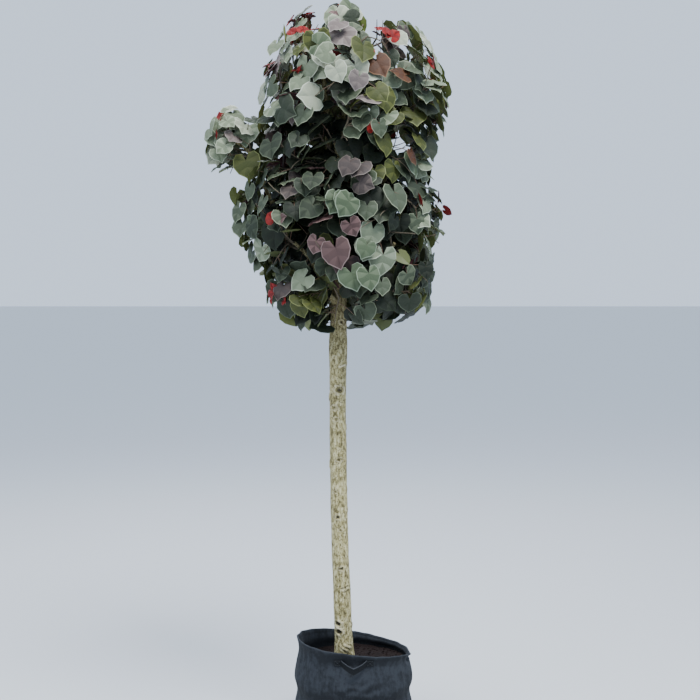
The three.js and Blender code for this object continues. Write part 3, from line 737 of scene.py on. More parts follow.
# The tiers of foliage: how many masses, first azimuth, distance out and height of their middles,
# where their boughs leave the stem, where each enters its mass (out, height), and its leader's tip
TIERS = [
    dict(name="lower", count=4, turn=225, out=0.215, height=1.620, fork=1.500, step=0.016,
         entry=(0.112, 1.585), tip=(0.232, 1.700), twigs=7),
    dict(name="middle", count=4, turn=262, out=0.215, height=1.955, fork=1.600, step=0.014,
         entry=(0.104, 1.850), tip=(0.215, 2.020), twigs=7),
    dict(name="upper", count=3, turn=240, out=0.195, height=2.250, fork=1.660, step=0.006,
         entry=(0.122, 2.160), tip=(0.170, 2.300), twigs=8),
    dict(name="top", count=1, turn=240, out=0, height=2.440, fork=TRUNK_FORK, step=0,
         entry=(0, 2.250), tip=(0.012, 2.400), twigs=8),
]  # fmt: skip
BOUGH_RADIUS = (0.013, 0.009)
BOUGH_STEPS = 40
STEM_RADIUS = (0.0086, 0.0056)
TWIG_RADIUS = (0.0044, 0.0030)
CLEARANCE = 0.0003
CELL_GAP = 0.0024
LIMB_GAP = 0.007
TRUNK_PIECE = 0.11
TWIG_SPREAD, TWIG_DEPTH = 0.210, 0.062  # how far twigs aim from the mass's middle, below its face
SPRAY_TWIG_SPREAD, SPRAY_TWIG_DEPTH = 0.090, 0.030


def row_value(rows, at, column):
    """The source's straight reading between rows."""
    if at <= rows[0][0]:
        return rows[0][column]
    for low, high in zip(rows, rows[1:]):
        if high[0] > at:
            share = (at - low[0]) / (high[0] - low[0])
            return low[column] + share * (high[column] - low[column])
    return rows[-1][column]


def polar(azimuth, out, height):
    turn = math.radians(azimuth)
    x, y = HEAD_MIDDLE.x + out * math.cos(turn), HEAD_MIDDLE.y + out * math.sin(turn)
    return Vector((x, y, height))


def bezier(a, b, c):
    return lambda t: (1 - t) ** 2 * a + 2 * t * (1 - t) * b + t * t * c


def rising_line(start, end):
    """A limb leaves low and outwards and turns upwards on its way."""
    bend = start.lerp(end, 0.62)
    bend.z = start.z + 0.3 * (end.z - start.z)
    return bezier(start, bend, end)


def polyline(line, steps):
    return [line(i / steps) for i in range(steps + 1)]


def point_of(points, t):
    k = min(len(points) - 2, int(t * (len(points) - 1)))
    return points[k].lerp(points[k + 1], t * (len(points) - 1) - k)


masses = []
for tier in TIERS:
    for i in range(tier["count"]):
        azimuth = tier["turn"] + 360 / tier["count"] * i
        number = f"_{i + 1}" if tier["count"] > 1 else ""
        mass = dict(tier=tier["name"], twigs=tier["twigs"], spray=False)
        mass["node"] = f"{tier['name']}_foliage{number}"
        mass["bough"] = f"{tier['name']}_bough{number}"
        mass["middle"] = polar(azimuth, tier["out"], tier["height"])
        mass["foot"] = trunk_middle(tier["fork"] + tier["step"] * ((i * 2) % 5))
        mass["entry"] = polar(azimuth, *tier["entry"])
        mass["tip"] = polar(azimuth, *tier["tip"])
        masses.append(mass)
side = dict(tier="side", twigs=5, spray=True, node="side_foliage", bough="side_bough")
side |= dict(middle=SPRAY_MIDDLE, foot=trunk_middle(1.562))
side |= dict(entry=Vector((-0.330, -0.050, 1.975)), tip=Vector((-0.425, -0.020, 2.060)))
masses.append(side)


def in_head(p, inside=0.0):
    radius = row_value(HEAD_OUTLINE, p.z, 2) - inside
    x = p.x - row_value(HEAD_OUTLINE, p.z, 1)
    low, high = HEAD_OUTLINE[0][0], HEAD_OUTLINE[-1][0]
    return low < p.z < high and math.hypot(x, p.y) < radius


def in_spray(p):
    return Vector([(p - SPRAY_MIDDLE)[i] / SPRAY_REACH[i] for i in range(3)]).length < 1


def in_own_space(mass, p, gap=CELL_GAP):
    """Whether a place is nearer to a mass's middle than to any other mass's."""
    for other in masses:
        if other is not mass:
            across = other["middle"] - mass["middle"]
            out = (p - mass["middle"]).dot(across.normalized())
            if out >= 0.5 * across.length - 0.5 * gap:
                return False
    return True


def in_outline(mass, p):
    return in_spray(p) if mass["spray"] else in_head(p)


def outwards(p):
    way = p - HEAD_MIDDLE
    way.z *= 0.55
    return way.normalized()


def clear_of(pieces, p, gap):
    """Whether a place keeps clear of limbs' pieces, rows of both ends and a radius."""
    for a, b, radius in pieces:
        along = b - a
        t = min(max((p - a).dot(along) / along.length_squared, 0), 1)
        if not (a + t * along - p).length > radius + gap:
            return False
    return True


def tapered(points, radii):
    """Rows of a limb's points and its radius there."""
    steps = len(points) - 1
    return [(p, radii[0] + (radii[1] - radii[0]) * k / steps) for k, p in enumerate(points)]


def pieces_of(points, radii):
    path = tapered(points, radii)
    return [(a, b, radius) for (a, radius), (b, _) in zip(path, path[1:])]


limb_pieces = []
for mass in masses:
    mass["bough_line"] = rising_line(mass["foot"], mass["entry"])
    limb_pieces += pieces_of(polyline(mass["bough_line"], 8), BOUGH_RADIUS)
height = 1.300
while height < TRUNK_FORK:
    above = trunk_middle(height + TRUNK_PIECE)
    limb_pieces.append((trunk_middle(height), above, trunk_radius(height)))
    height += TRUNK_PIECE


def twig_targets(mass):
    """Twigs aim at places spread evenly below the mass's outer face."""
    targets = []
    spread, depth = TWIG_SPREAD, TWIG_DEPTH
    if mass["spray"]:
        spread, depth = SPRAY_TWIG_SPREAD, SPRAY_TWIG_DEPTH
    while len(targets) < mass["twigs"]:
        best, best_room, tries = None, -1, 0
        while tries < 400 and (tries < 40 or best is None):
            tries += 1
            p = mass["middle"] + jitter(spread)
            way = outwards(p)
            if not (in_own_space(mass, p) and in_outline(mass, p)):
                continue
            if not in_outline(mass, p + way * depth):
                continue
            if in_head(p + way * 0.150) and chance() > 0.2:
                continue
            room = min([(t - p).length for t in targets] + [2 * spread])
            if room > best_room:
                best, best_room = p, room
        if best is None:
            break
        targets.append(best)
    return sorted(targets, key=lambda p: p.z)


for i, mass in enumerate(masses):
    seed = 1000 + 77 * i
    bough = mass["bough_line"]
    end = (bough(1) - bough(0.999)).normalized()
    start = mass["entry"] + end * CLEARANCE
    bend = start + end * 0.5 * (start - mass["tip"]).length
    leader = bezier(start, bend, mass["tip"])
    mass["stem"] = polyline(leader, 3)
    mass["smooth_stem"] = polyline(leader, 8)
    targets = twig_targets(mass)
    mass["twig_lines"] = []
    for k, target in enumerate(targets):
        leave = 0.12 + 0.82 * (k + 0.5) / len(targets)
        line = rising_line(point_of(mass["stem"], leave), target)
        straight = polyline(line, 1)
        places = [point_of(straight, t) for t in (0.25, 0.4, 0.55, 0.7, 0.85, 1)]
        apart = all(clear_of(limb_pieces, p, LIMB_GAP + TWIG_RADIUS[0]) for p in places)
        if apart and all(in_own_space(mass, p) for p in places):
            mass["twig_lines"].append(line)

boughs = []
for mass in masses:
    swell = 0 if mass["tier"] == "top" else 0.35
    path = tapered(polyline(mass["bough_line"], BOUGH_STEPS), BOUGH_RADIUS)
    path = [(p, radius * (1 + swell * math.exp(-k / 4))) for k, (p, radius) in enumerate(path)]
    path += tapered(mass["smooth_stem"], STEM_RADIUS)[1:]
    piece = limb_mesh(mass["bough"] + "_bark", path, 4)
    for vertex in piece.data.vertices:
        normal = vertex.normal
        vertex.co += normal * 0.0009 * noise.noise(vertex.co * 55)
        vertex.co += normal * 0.0005 * noise.noise(vertex.co * 160)
    boughs.append(piece)
select_only(*boughs)
bpy.ops.object.join()
bough_bark = bpy.context.object
bough_bark.name = "bough_bark"
bough_bark.data.materials.clear()
bough_bark.data.materials.append(bark)
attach(bough_bark, "root")
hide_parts(*[mass["bough"] for mass in masses])


# The foliage: from the twigs grow finer shoots, and along the end of each stand heart-shaped
# leaves on long stalks, turned by the golden angle. They tile the head's outside, hanging tip
# down, and lie flatter towards the top, where the young ones are red.

SHOOTS = dict(lower=21, middle=24, upper=23, top=17, side=18)
DEEP_SHOOTS = 5
SHOOT_SPREAD, SPRAY_SHOOT_SPREAD = 0.235, 0.100
SHOOT_DEPTH = 0.034  # how far below the head's outside its shoots end
DEEP_FROM = 0.105  # the deep ones end farther below it than this
# The ends of the shoots that stand out at the top, and of two beside the side spray
PEAKS = [Vector((-0.200, -0.05, 2.405)), Vector((0.172, -0.05, 2.390))]
PEAKS += [Vector((-0.030, -0.04, 2.462))]
PEAKS += [Vector((-0.350, -0.10, 2.100)), Vector((-0.345, -0.13, 2.040))]
SHOOT_RADIUS = (0.0024, 0.0013)
STALK_RADIUS = (0.00115, 0.0009)
YOUNG_STALK_RADIUS = (0.0008, 0.0006)
STALK_LENGTH = (0.036, 0.074)
LEAF_LENGTH = (0.067, 0.109)
YOUNG_LEAF_LENGTH = (0.030, 0.052)
LEAF_SPACING = 0.015
LEAVES_ON_SHOOT = 8
LEAF_TRIES = 14
LEAF_GAP = 0.048  # half the thickness of the space a blade takes up, as a share of its length
LEAVES_NEAR = 0.13  # leaves whose middles lie farther apart than this can't touch
MIDDLES_APART = 0.24  # the least distance of leaves' middles, as a share of their length
LEAF_OFF_LIMBS = 0.002
MOST_LEAVES = 4000
RIM_AT = 0.945  # where the leaf's pale rim begins, as a share of the way out to its edge
GOLDEN_TURN = math.pi * (3 - math.sqrt(5))
UP = Vector((0, 0, 1))

# The leaf's rim: degrees from its tip, and distance from the stalk as a share of its length.
# Veins end at the tip and at every second point from it.
LEAF_RIM = [(0, 0.71), (16, 0.59), (42, 0.555), (74, 0.54), (106, 0.515), (131, 0.455), (156, 0.29)]
RIM_POINTS = 2 * len(LEAF_RIM) - 1
MIDRIB_FORK = 0.24  # the two veins next to the tip leave the midrib here, the others the stalk


def heart_leaf(fold, droop, quilt, wave, twist, bend):
    """One leaf, its stalk end at the origin and its tip along +Y, pleated between its veins."""
    rim = [(-a, r) for a, r in LEAF_RIM[:0:-1]] + LEAF_RIM
    n = RIM_POINTS

    def on_blade(x, y, ribs):
        cup = fold * abs(x) * math.exp(-2 * abs(x)) - droop * (x * x + 0.8 * y * y)
        return (x + bend * y * abs(y), y, cup + twist * x * y + ribs)

    vertices = [(0, 0, 0)]
    for ring, height, forward in ((0.55, quilt, 0.10), (RIM_AT, wave, 0), (1, wave, 0)):
        for k, (angle, reach) in enumerate(rim):
            turn = math.radians(angle)
            ribs = height * (1.4 if k % 2 else -0.4)
            x, y = ring * reach * math.sin(turn), ring * reach * math.cos(turn)
            vertices.append(on_blade(x, y + forward * max(math.cos(turn), 0), ribs))
    under, fork = len(vertices), len(vertices) + 1
    vertices.append((0, 0.2, -0.02 - 0.5 * quilt - 0.04 * droop))
    vertices.append(on_blade(0, MIDRIB_FORK, -0.4 * quilt))
    faces, slots = [], []
    for k in range(n - 1):
        a, b, from_end = 1 + k, 2 + k, min(k, n - 2 - k)
        hub = (0, b, a) if from_end < 3 else (fork, b, a)
        if from_end == 3:
            hub = (0, fork, b, a) if k == 3 else (0, b, a, fork)
        faces += [hub, (a, b, b + n, a + n)]
        faces += [(a + n, b + n, b + 2 * n, a + 2 * n), (under, a + 2 * n, b + 2 * n)]
        # the side of each pleat that looks to the leaf's tip is painted darker, as painted shade
        pleat = "shaded_flank" if from_end % 2 else "upper"
        slots += [pleat, pleat, "rim", "under"]
    faces += [(under, 0, 1, 1 + n, 1 + 2 * n), (under, 3 * n, 2 * n, n, 0)]
    return np.array(vertices), faces, slots + ["under", "under"]


SHAPE_ROWS = [
    (0.20, 0.26, 0.030, 0.014, 0.10, 0.05), (0.08, 0.36, 0.032, 0.018, -0.14, -0.08),
    (0.34, 0.20, 0.026, 0.012, 0.04, 0.10), (-0.04, 0.22, 0.034, 0.016, -0.06, -0.03),
    (0.26, 0.42, 0.028, 0.020, 0.18, 0.02), (0.14, 0.16, 0.034, 0.012, -0.20, 0.12),
]
LEAF_SHAPES = [heart_leaf(*row) for row in SHAPE_ROWS]
YOUNG_SHAPE = heart_leaf(0.60, 0.25, 0.03, 0.0, 0.1, 0.05)
LEAF_VERTICES = len(YOUNG_SHAPE[0])
TEST_POINTS = LEAF_SHAPES[0][0][[27, 29, 31, 32, 33, 34, 35, 37, 39, 2, 7, 12]]
# Its rim and its veins are creased, each edge known by its two ends
creased = [(k, k + 1) for k in range(1 + 2 * RIM_POINTS, 3 * RIM_POINTS)]
creased.append((0, LEAF_VERTICES - 1))
for k in range(1, RIM_POINTS + 1, 2):
    creased.append((k, LEAF_VERTICES - 1) if abs(k - 7) < 3 else (0, k))
    creased += [(k, k + RIM_POINTS), (k + RIM_POINTS, k + 2 * RIM_POINTS)]
    creased.append((k + 2 * RIM_POINTS, LEAF_VERTICES - 2))
CREASES = [a * LEAF_VERTICES + b for a, b in creased]

# Leathery leaves under a waxy bloom. Each spray has one tint in a few shades, old leaves dark and
# grey, younger ones mauve, pink and then red; undersides are olive or wine. All plain colours.
# The pale glaucous and silver uppers are partly the bloom and partly painted reflection of the sky.
TINTS = {  # underside, rim, painted shade side of the pleats, then two shades of the upper side
    "dark_green": ("#363d21", "#252e1e", "#141b0f", "#171f11", "#1c2115"),
    "deep_green": ("#535a31", "#525b48", "#293123", "#2d3427", "#353d2d"),
    "grey_green": ("#636a39", "#7e866e", "#434c3a", "#485140", "#545c48"),
    "glaucous": ("#6a713b", "#9fa791", "#6c765f", "#727c65", "#828b74"),
    # pale upper side: partly bloom, partly painted reflection of the sky
    "silver": ("#737943", "#b8bdab", "#929884", "#989e88", "#a5aa96"),
    "mauve": ("#5a373a", "#696059", "#3f3734", "#463c38", "#4f4540"),
    "lilac": ("#623d3f", "#958b86", "#6a605c", "#716762", "#7d736e"),
    "plum": ("#4c2a30", "#4a3a39", "#291f1d", "#2d2220", "#352725"),
    "pink": ("#6b3838", "#8a746f", "#57423f", "#5e4845", "#6e5451"),
    "fresh_green": ("#6c7935", "#84917a", "#4b5841", "#505d46", "#5b674f"),
    "olive": ("#6f772c", "#6c7240", "#3c421d", "#42471f", "#4c5124"),
    "rust": ("#62371d", "#75543a", "#412614", "#472914", "#50311c"),
    "red": ("#74100e", "#7c1a12", "#680c0a", "#760e0b", "#881510"),
}

leaf_materials = []
slot_of = {}
for tint, (under, rim, *uppers) in TINTS.items():
    slot_of[tint] = len(leaf_materials)
    leaf_materials.append(new_material(f"leaf_{tint}_under", under, 0.6)[0])
    leaf_materials.append(new_material(f"leaf_{tint}_rim", rim, 0.5, 0.25)[0])
    for i, upper in enumerate(uppers):
        material, tree, shader = new_material(f"leaf_{tint}_upper_{i + 1}", upper, 0.6, 0.25)
        over_leaf = add_node(tree, "UVMap", {}, uv_map="leaf")
        puckers = add_node(tree, "TexNoise", {"Vector": over_leaf, "Scale": 13, "Detail": 3})
        relief = add_node(tree, "Bump", {"Height": puckers, "Strength": 0.5, "Distance": 0.002})
        feed(tree, shader, {"Normal": relief})
        leaf_materials.append(material)

# How many of a hundred leaves have each tint, by their place in the head: paler at the top, as
# painted light from the sky, and darker low down and inside, as painted shade
OUTER_TINTS = dict(
    grey_green=43, glaucous=13, deep_green=34, dark_green=5, mauve=3, fresh_green=3, plum=1
)
# low in the head: more dark tints, as painted shade under it
LOW_TINTS = dict(
    grey_green=36, glaucous=8, deep_green=38, dark_green=14, mauve=2, plum=1, olive=1
)
# inside the head: older, darker leaves, darkened further as painted shade
INNER_TINTS = dict(dark_green=70, deep_green=18, plum=6, olive=3, grey_green=3)
DEEP_TINTS = dict(deep_green=58, dark_green=22, grey_green=14, mauve=3, plum=3)
# at the top: the palest tints, as painted light from the sky above
TOP_TINTS = dict(
    glaucous=36, silver=32, grey_green=12, deep_green=3, olive=7, lilac=6, fresh_green=4, plum=2
)
SPRAY_TINTS = dict(glaucous=42, silver=28, grey_green=22, olive=4, lilac=4)
# Leaves in threes that stand out from the others by their colour, by their place
TINTED_LEAVES = [
    (-0.112, -0.36, 1.707, "pink"), (0.022, -0.37, 1.676, "pink"),
    (0.029, -0.38, 1.893, "mauve"), (-0.002, -0.39, 1.800, "fresh_green"),
    (0.036, -0.35, 1.610, "fresh_green"), (-0.057, -0.26, 2.359, "lilac"),
    (0.074, -0.34, 2.220, "lilac"), (0.205, -0.28, 2.000, "rust"),
    (0.128, -0.32, 2.215, "rust"), (0.160, -0.32, 1.950, "olive"),
    (0.225, -0.28, 2.060, "olive"), (0.175, -0.30, 2.145, "olive"),
]
# Shoots that end in red young leaves, by the place of their ends
RED_TIPS = [
    (-0.415, -0.05, 2.105), (0.150, -0.24, 2.317), (0.245, -0.16, 2.270),
    (0.205, -0.24, 2.176), (-0.215, -0.07, 2.430), (-0.020, -0.07, 2.480),
    (-0.190, -0.18, 2.365), (-0.290, -0.12, 2.310), (-0.270, -0.20, 1.735),
    (-0.240, -0.16, 1.545), (0.315, -0.08, 1.834),
]

def egg(middle, half):
    """An egg-shaped space, by its middle and half sizes."""
    return Vector(middle), Vector(half)


def in_one_of(spaces, p):
    return any(
        sum(((p[i] - middle[i]) / half[i]) ** 2 for i in range(3)) < 1 for middle, half in spaces
    )


# Two bays in the head's front, where the leaves that hang are in its own shade: their space,
# the share of the leaves that are shaded there, and their tints
SHADED_BAYS = [
    (egg((-0.075, -0.30, 2.030), (0.078, 0.24, 0.160)), 0.92, INNER_TINTS),
    (egg((-0.170, -0.30, 1.830), (0.170, 0.24, 0.140)), 0.8, DEEP_TINTS),
]


def pick(weights):
    at = chance() * sum(weights.values())
    for name, weight in weights.items():
        at -= weight
        if at <= 0:
            return name
    return name


def shaded_tint(place):
    """A dark tint for most places in the shaded bays, otherwise none."""
    for bay, share, tints in SHADED_BAYS:
        if in_one_of([bay], place) and chance() < share:
            return pick(tints)
    return None


# paler tints at the top as painted light, darker ones inside and low down as painted shade
def tint_of(place):
    if place.x < -0.33 and place.z > 1.90:
        return pick(SPRAY_TINTS)
    if place.z > 2.14 and chance() < 0.75:
        return pick(TOP_TINTS)
    if in_head(place, 0.085) and place.z < 2.3:
        return pick(INNER_TINTS)
    return pick(LOW_TINTS if place.z < 1.56 + 0.1 * chance() else OUTER_TINTS)


all_shoots = []
for mass in masses:
    for line in mass["twig_lines"]:
        all_shoots.append(dict(mass=mass, path=polyline(line, 4), radii=TWIG_RADIUS))
shoot_ends = [shoot["path"][-1] for shoot in all_shoots]
for i, mass in enumerate(masses):
    seed = 9000 + 131 * i
    parents = [p for line in mass["twig_lines"] for p in polyline(line, 8)[2:]]
    parents += mass["smooth_stem"][1:]
    spread = SPRAY_SHOOT_SPREAD if mass["spray"] else SHOOT_SPREAD
    peaks = [p for p in PEAKS if in_own_space(mass, p, 0)]
    for k in range(SHOOTS[mass["tier"]] + DEEP_SHOOTS):
        deep = k >= SHOOTS[mass["tier"]] and not mass["spray"]
        best, best_room, tries = (peaks.pop(), 0, 500) if peaks else (None, -1, 0)
        while tries < 500 and (tries < 50 or best is None):
            tries += 1
            p = mass["middle"] + jitter(spread)
            way = outwards(p)
            if not (in_own_space(mass, p, 0) and in_outline(mass, p + way * SHOOT_DEPTH)):
                continue
            if in_head(p + way * DEEP_FROM) != deep and chance() > 0.16:
                continue
            room = min((q - p).length for q in shoot_ends)
            if room > best_room:
                best, best_room = p, room
        if best is None:
            continue
        shoot_ends.append(best)
        way = outwards(best)
        # it grows from near by, and from further inwards rather than from aside
        start = min(
            parents,
            key=lambda q: (best - q).length * (1.6 - 0.6 * (best - q).normalized().dot(way)),
        )
        path = polyline(rising_line(start, best), 4)
        all_shoots.append(dict(mass=mass, path=path, radii=SHOOT_RADIUS))

segments = limb_pieces[:]
for mass in masses:
    segments += pieces_of(mass["smooth_stem"], STEM_RADIUS)
for shoot in all_shoots:
    segments += pieces_of(shoot["path"], shoot["radii"])
segment_start = np.array([a for a, b, r in segments])
segment_way = np.array([b - a for a, b, r in segments])
segment_square = (segment_way**2).sum(1)
segment_radius = np.array([r for a, b, r in segments])


def clear_of_limbs(points, gap):
    """Whether all points, the rows of an array, keep clear of every limb."""
    apart = points[:, None, :] - segment_start[None]
    t = np.clip((apart * segment_way).sum(2) / segment_square, 0, 1)
    away = np.linalg.norm(apart - t[..., None] * segment_way, axis=2)
    return bool((away > segment_radius + gap).all())


# Where the head is open: sky shows right through it, or the outer leaves part over its dark
# inside and its upright limbs
OPENINGS = [
    egg((0.157, 0, 2.040), (0.042, 1, 0.070)),
    egg((0.052, 0, 2.272), (0.020, 1, 0.026)),
    egg((-0.130, 0, 2.475), (0.042, 1, 0.090)),
    egg((0.076, 0, 2.480), (0.038, 1, 0.078)),
    egg((-0.385, 0, 1.985), (0.022, 1, 0.030)),
    egg((-0.068, -0.34, 2.060), (0.056, 0.17, 0.100)),
    egg((0.100, -0.36, 1.830), (0.040, 0.12, 0.050)),
    egg((-0.200, -0.30, 1.700), (0.040, 0.12, 0.045)),
    egg((-0.047, -0.20, 1.440), (0.056, 0.24, 0.112)),
]
seed = 31
for turn in (5, 60, 118, 170, 215):
    middle = polar(turn + between(-15, 15), 0.33, between(1.65, 2.25))
    half = (between(0.05, 0.09), between(0.05, 0.09), between(0.05, 0.1))
    OPENINGS.append(egg(middle, half))
# Sky between the three tufts of the head's top: none of the leaves placed there stays
NOTCHES = [egg((-0.120, 0, 2.500), (0.055, 1, 0.150)), egg((0.080, 0, 2.500), (0.058, 1, 0.170))]


def in_slab(points, base, axes, length):
    """Whether any point lies in the slab that a leaf's blade takes up, with its gap."""
    local = np.einsum("...pk,...jk->...pj", points - base[..., None, :], axes)
    x, y, z = np.moveaxis(local / length[..., None, None], -1, 0)
    droop = z + 0.34 * (x * x + 0.8 * y * y)
    within = (np.abs(droop) < LEAF_GAP) & (x * x + (y - 0.2) ** 2 < 0.26) & (y < 0.75)
    return within.any()


leaves = []
sizes = dict(base=(3,), axes=(3, 3), length=(), middle=(3,), points=(len(TEST_POINTS), 3))
placed = {name: np.zeros((MOST_LEAVES, *size)) for name, size in sizes.items()}


def blade_fits(leaf):
    """Whether a new leaf keeps clear of the leaves already in place."""
    away = np.linalg.norm(placed["middle"][: len(leaves)] - leaf["middle"], axis=1)
    near = np.nonzero(away < LEAVES_NEAR)[0]
    if (away[near] < MIDDLES_APART * leaf["length"]).any():
        return False
    theirs = [placed[name][near] for name in ("base", "axes", "length")]
    mine = [np.array(leaf[name])[None] for name in ("base", "axes", "length")]
    return not (in_slab(leaf["points"][None], *theirs) or in_slab(placed["points"][near], *mine))


def bay_depth(p):
    """How far the head's outline is drawn in at a place, between the sprays that reach it."""
    way = (p - HEAD_MIDDLE).normalized()
    high = min(max((p.z - 2.25) / 0.2, 0), 1)
    bay = min(max(0.35 + 1.9 * noise.noise(way * (2.6 + high) + Vector((1.5, 0.7, 3.1))), 0), 1)
    beside = min(max((p - SPRAY_MIDDLE).length / 0.13 - 1, 0), 1)
    beside *= min(max(min((p - peak).length for peak in PEAKS) / 0.08 - 0.6, 0), 1)
    return (0.052 + 0.065 * high) * bay * beside - 0.004


def by_spray(p):
    """Inside the side spray, or between it and the head."""
    return in_spray(Vector((min(p.x, 0.5 * (p.x + SPRAY_MIDDLE.x)), p.y, p.z)))


def blade_axes(along, normal):
    """A blade's axes: across it, along it as far as its normal allows, and its normal."""
    along = (along - normal * along.dot(normal)).normalized()
    return np.array([along.cross(normal), along, normal])


def try_leaf(mass, node, way, turn, length, stalk):
    """A leaf on a shoot's node, or none where it would leave the head or meet another piece."""
    out = outwards(node)
    across = out.cross(way).normalized()
    over = way.cross(across)
    stalk_way = across * math.cos(turn) + over * math.sin(turn) + way * 0.45 + out * 0.75
    stalk_way = (stalk_way + UP * 0.3 + jitter(0.25)).normalized()
    base = node + stalk_way * stalk
    high = min(max((base.z - 1.950) / 0.450, 0), 1)
    high = high * high * (3 - 2 * high)
    facing = outwards(base)
    if mass["spray"]:
        facing = (base - SPRAY_MIDDLE + Vector((0, -0.10, 0.02))).normalized()
    level = Vector((facing.x, facing.y, 0.02)).normalized()
    facing = facing.lerp(level, 0.7 * high).normalized()
    normal = (facing * (0.75 + 0.25 * high) + UP * (0.72 - 0.5 * high) + jitter(0.68)).normalized()
    along = facing * (0.4 + 0.2 * high) + UP * (-1 + 0.25 * high) + jitter(0.75)
    axes = blade_axes(along, normal)
    points = np.array(base) + length * TEST_POINTS @ axes
    for spot in map(Vector, points[:9]):
        if not (in_head(spot, bay_depth(spot)) or (mass["spray"] and by_spray(spot))):
            return None
    middle = np.array(base) + length * 0.25 * axes[1]
    if in_one_of(OPENINGS, middle) or in_one_of(OPENINGS, points[4]):
        return None
    leaf = dict(node=node, base=base, axes=axes, length=length, points=points, middle=middle)
    return leaf if blade_fits(leaf) and clear_of_limbs(points, LEAF_OFF_LIMBS) else None


seed = 77001
for shoot in all_shoots:
    shoot["tint"] = tint_of(shoot["path"][-1])
for shoot in sorted(all_shoots, key=lambda s: -(s["path"][-1] - HEAD_MIDDLE).length):
    path = shoot["path"]
    whole = sum((b - a).length for a, b in zip(path, path[1:]))
    first_turn = between(0, 2 * math.pi)
    for k in range(LEAVES_ON_SHOOT):
        t = 0.985 - k * LEAF_SPACING / whole
        if t < 0.2:
            break
        node = point_of(path, t)
        way = (point_of(path, min(t + 0.05, 1)) - point_of(path, t - 0.05)).normalized()
        for tries in range(LEAF_TRIES):
            length = between(*LEAF_LENGTH) * (1 - 0.015 * tries) * (0.93 if node.z > 2.27 else 1)
            stalk = between(*STALK_LENGTH)
            turn = first_turn + GOLDEN_TURN * k + 0.9 * tries
            leaf = try_leaf(shoot["mass"], node, way, turn, length, stalk)
            if leaf is None:
                continue
            tint = shoot["tint"] if chance() < 0.55 else tint_of(leaf["base"])
            leaf["tint"] = shaded_tint(leaf["base"]) or tint
            leaf["shape"] = LEAF_SHAPES[int(chance() * len(LEAF_SHAPES))]
            leaf["shade"] = 3 + int(chance() * 2)
            leaf["tier"] = shoot["mass"]["tier"]
            for name, rows in placed.items():
                rows[len(leaves)] = leaf[name]
            leaves.append(leaf)
            break

leaves = [leaf for leaf in leaves if not in_one_of(NOTCHES, leaf["middle"])]
for x, y, z, tint in TINTED_LEAVES:
    place = Vector((x, y, z))
    for leaf in sorted(leaves, key=lambda leaf: (Vector(leaf["middle"]) - place).length)[:3]:
        leaf["tint"] = tint

# Two or three young leaves, still folded and red, at the ends of the shoots that reach the light
for place in map(Vector, RED_TIPS):
    min(all_shoots, key=lambda s: (s["path"][-1] - place).length)["red"] = True
for shoot in all_shoots:
    end, red = shoot["path"][-1], "red" in shoot
    high = end.z > 2.2
    if (in_head(end, 0.11) and end.z < 2.25 or chance() > (0.55 if high else 0.05)) and not red:
        continue
    for k in range(1 + int(chance() * (3 if high else 1.4)) + red):
        way = (outwards(end) * 0.6 + UP * 0.7 + jitter(0.5)).normalized()
        length = between(*YOUNG_LEAF_LENGTH)
        base = end + way * (between(0.010, 0.030) + 0.018 * red)
        axes = blade_axes(way, (outwards(end) + UP * 0.3 + jitter(0.7)).normalized())
        furthest = base + Vector(axes[1]) * length
        if not (red or in_head(furthest) or in_outline(shoot["mass"], furthest)):
            continue
        leaf = dict(node=end, base=base, axes=axes, length=length, shape=YOUNG_SHAPE)
        leaf["tint"] = "red" if chance() < 0.85 else "pink"
        leaf["shade"] = 3 + int(chance() * 2)
        leaf["tier"] = shoot["mass"]["tier"]
        leaves.append(leaf)

# Young twigs: thin brown bark with pale corky dots; stalks are smooth, green flushed with red
twig_bark, tree, shader = new_material("young_twig_bark", "#4e4436", 0.8)
place = add_node(tree, "TexCoord", {}, "Object")
dots = add_node(tree, "TexNoise", {"Vector": place, "Scale": 260, "Detail": 2})
dotted = {0: dots, 6: linear("#3a3127"), 7: linear("#6f6550")}
feed(tree, shader, {"Base Color": add_node(tree, "Mix", dotted, 2, data_type="RGBA")})
stalk_green = new_material("leaf_stalk", "#6a5240", 0.5)[0]

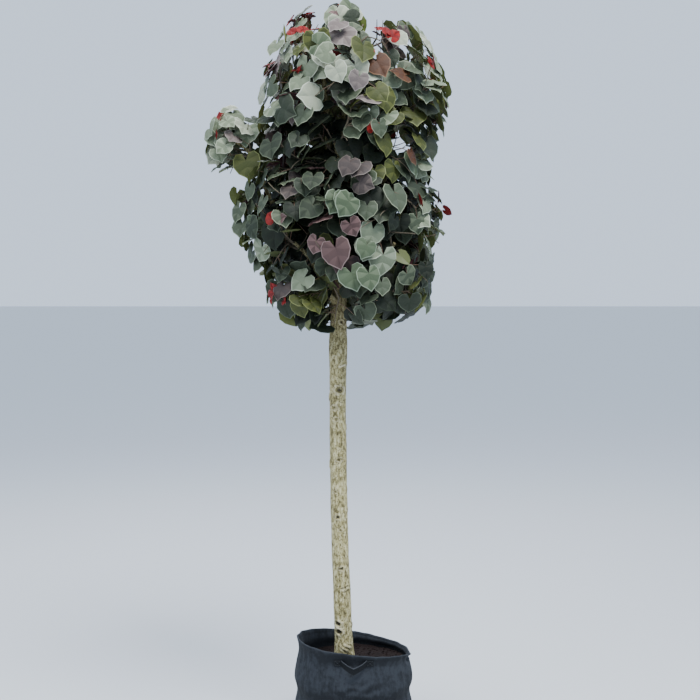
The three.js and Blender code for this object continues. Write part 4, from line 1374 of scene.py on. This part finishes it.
for tier in SHOOTS:
    nodes = [mass["node"] for mass in masses if mass["tier"] == tier]
    grown = [shoot for shoot in all_shoots if shoot["mass"]["tier"] == tier]
    paths = [tapered(shoot["path"], shoot["radii"]) for shoot in grown]
    twigs = mesh_piece(f"{tier}_twigs", *tubes(paths, 5))
    twigs.data.shade_smooth()
    twigs.data.materials.append(twig_bark)
    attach(twigs, "root")
    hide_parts(*nodes)

    mine = [leaf for leaf in leaves if leaf["tier"] == tier]
    paths = []
    for leaf in mine:
        node, base = leaf["node"], leaf["base"]
        bend = node.lerp(base, 0.55) + UP * 0.06 * (base - node).length
        start = node - (bend - node).normalized() * 0.001
        radii = STALK_RADIUS if leaf["length"] > 0.05 else YOUNG_STALK_RADIUS
        paths.append(tapered([start, bend, base], radii))
    stalks = mesh_piece(f"{tier}_leaf_stalks", *tubes(paths, 4))
    stalks.data.shade_smooth()
    stalks.data.materials.append(stalk_green)
    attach(stalks, "root")
    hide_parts(*nodes)

    vertices, faces, slots = [], [], []
    for n, leaf in enumerate(mine):
        shape, shape_faces, shape_slots = leaf["shape"]
        vertices.append(np.array(leaf["base"]) + leaf["length"] * shape @ leaf["axes"])
        faces += [tuple(n * LEAF_VERTICES + i for i in face) for face in shape_faces]
        slot = slot_of[leaf["tint"]]
        # the pleats' painted shade side takes the tint's third colour
        side_slots = dict(under=slot, rim=slot + 1, shaded_flank=slot + 2, upper=slot + leaf["shade"])
        slots += [side_slots[side] for side in shape_slots]
    blades = mesh_piece(f"{tier}_leaves", np.concatenate(vertices), faces)
    for material in leaf_materials:
        blades.data.materials.append(material)
    blades.data.polygons.foreach_set("material_index", slots)
    over_leaf = np.concatenate([leaf["shape"][0][:, :2] for leaf in mine])
    corners = np.empty(len(blades.data.loops), dtype=np.int32)
    blades.data.loops.foreach_get("vertex_index", corners)
    uv_map = blades.data.uv_layers.new(name="leaf")
    uv_map.data.foreach_set("uv", over_leaf[corners].astype(np.float32).ravel())
    blades.data.shade_smooth()
    ends = np.empty(2 * len(blades.data.edges), dtype=np.int32)
    blades.data.edges.foreach_get("vertices", ends)
    ends = np.sort(ends.reshape(-1, 2) % LEAF_VERTICES, axis=1)
    sharp = np.isin(ends[:, 0] * LEAF_VERTICES + ends[:, 1], CREASES)
    blades.data.edges.foreach_set("use_edge_sharp", sharp)
    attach(blades, "root")
    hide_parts(*nodes)
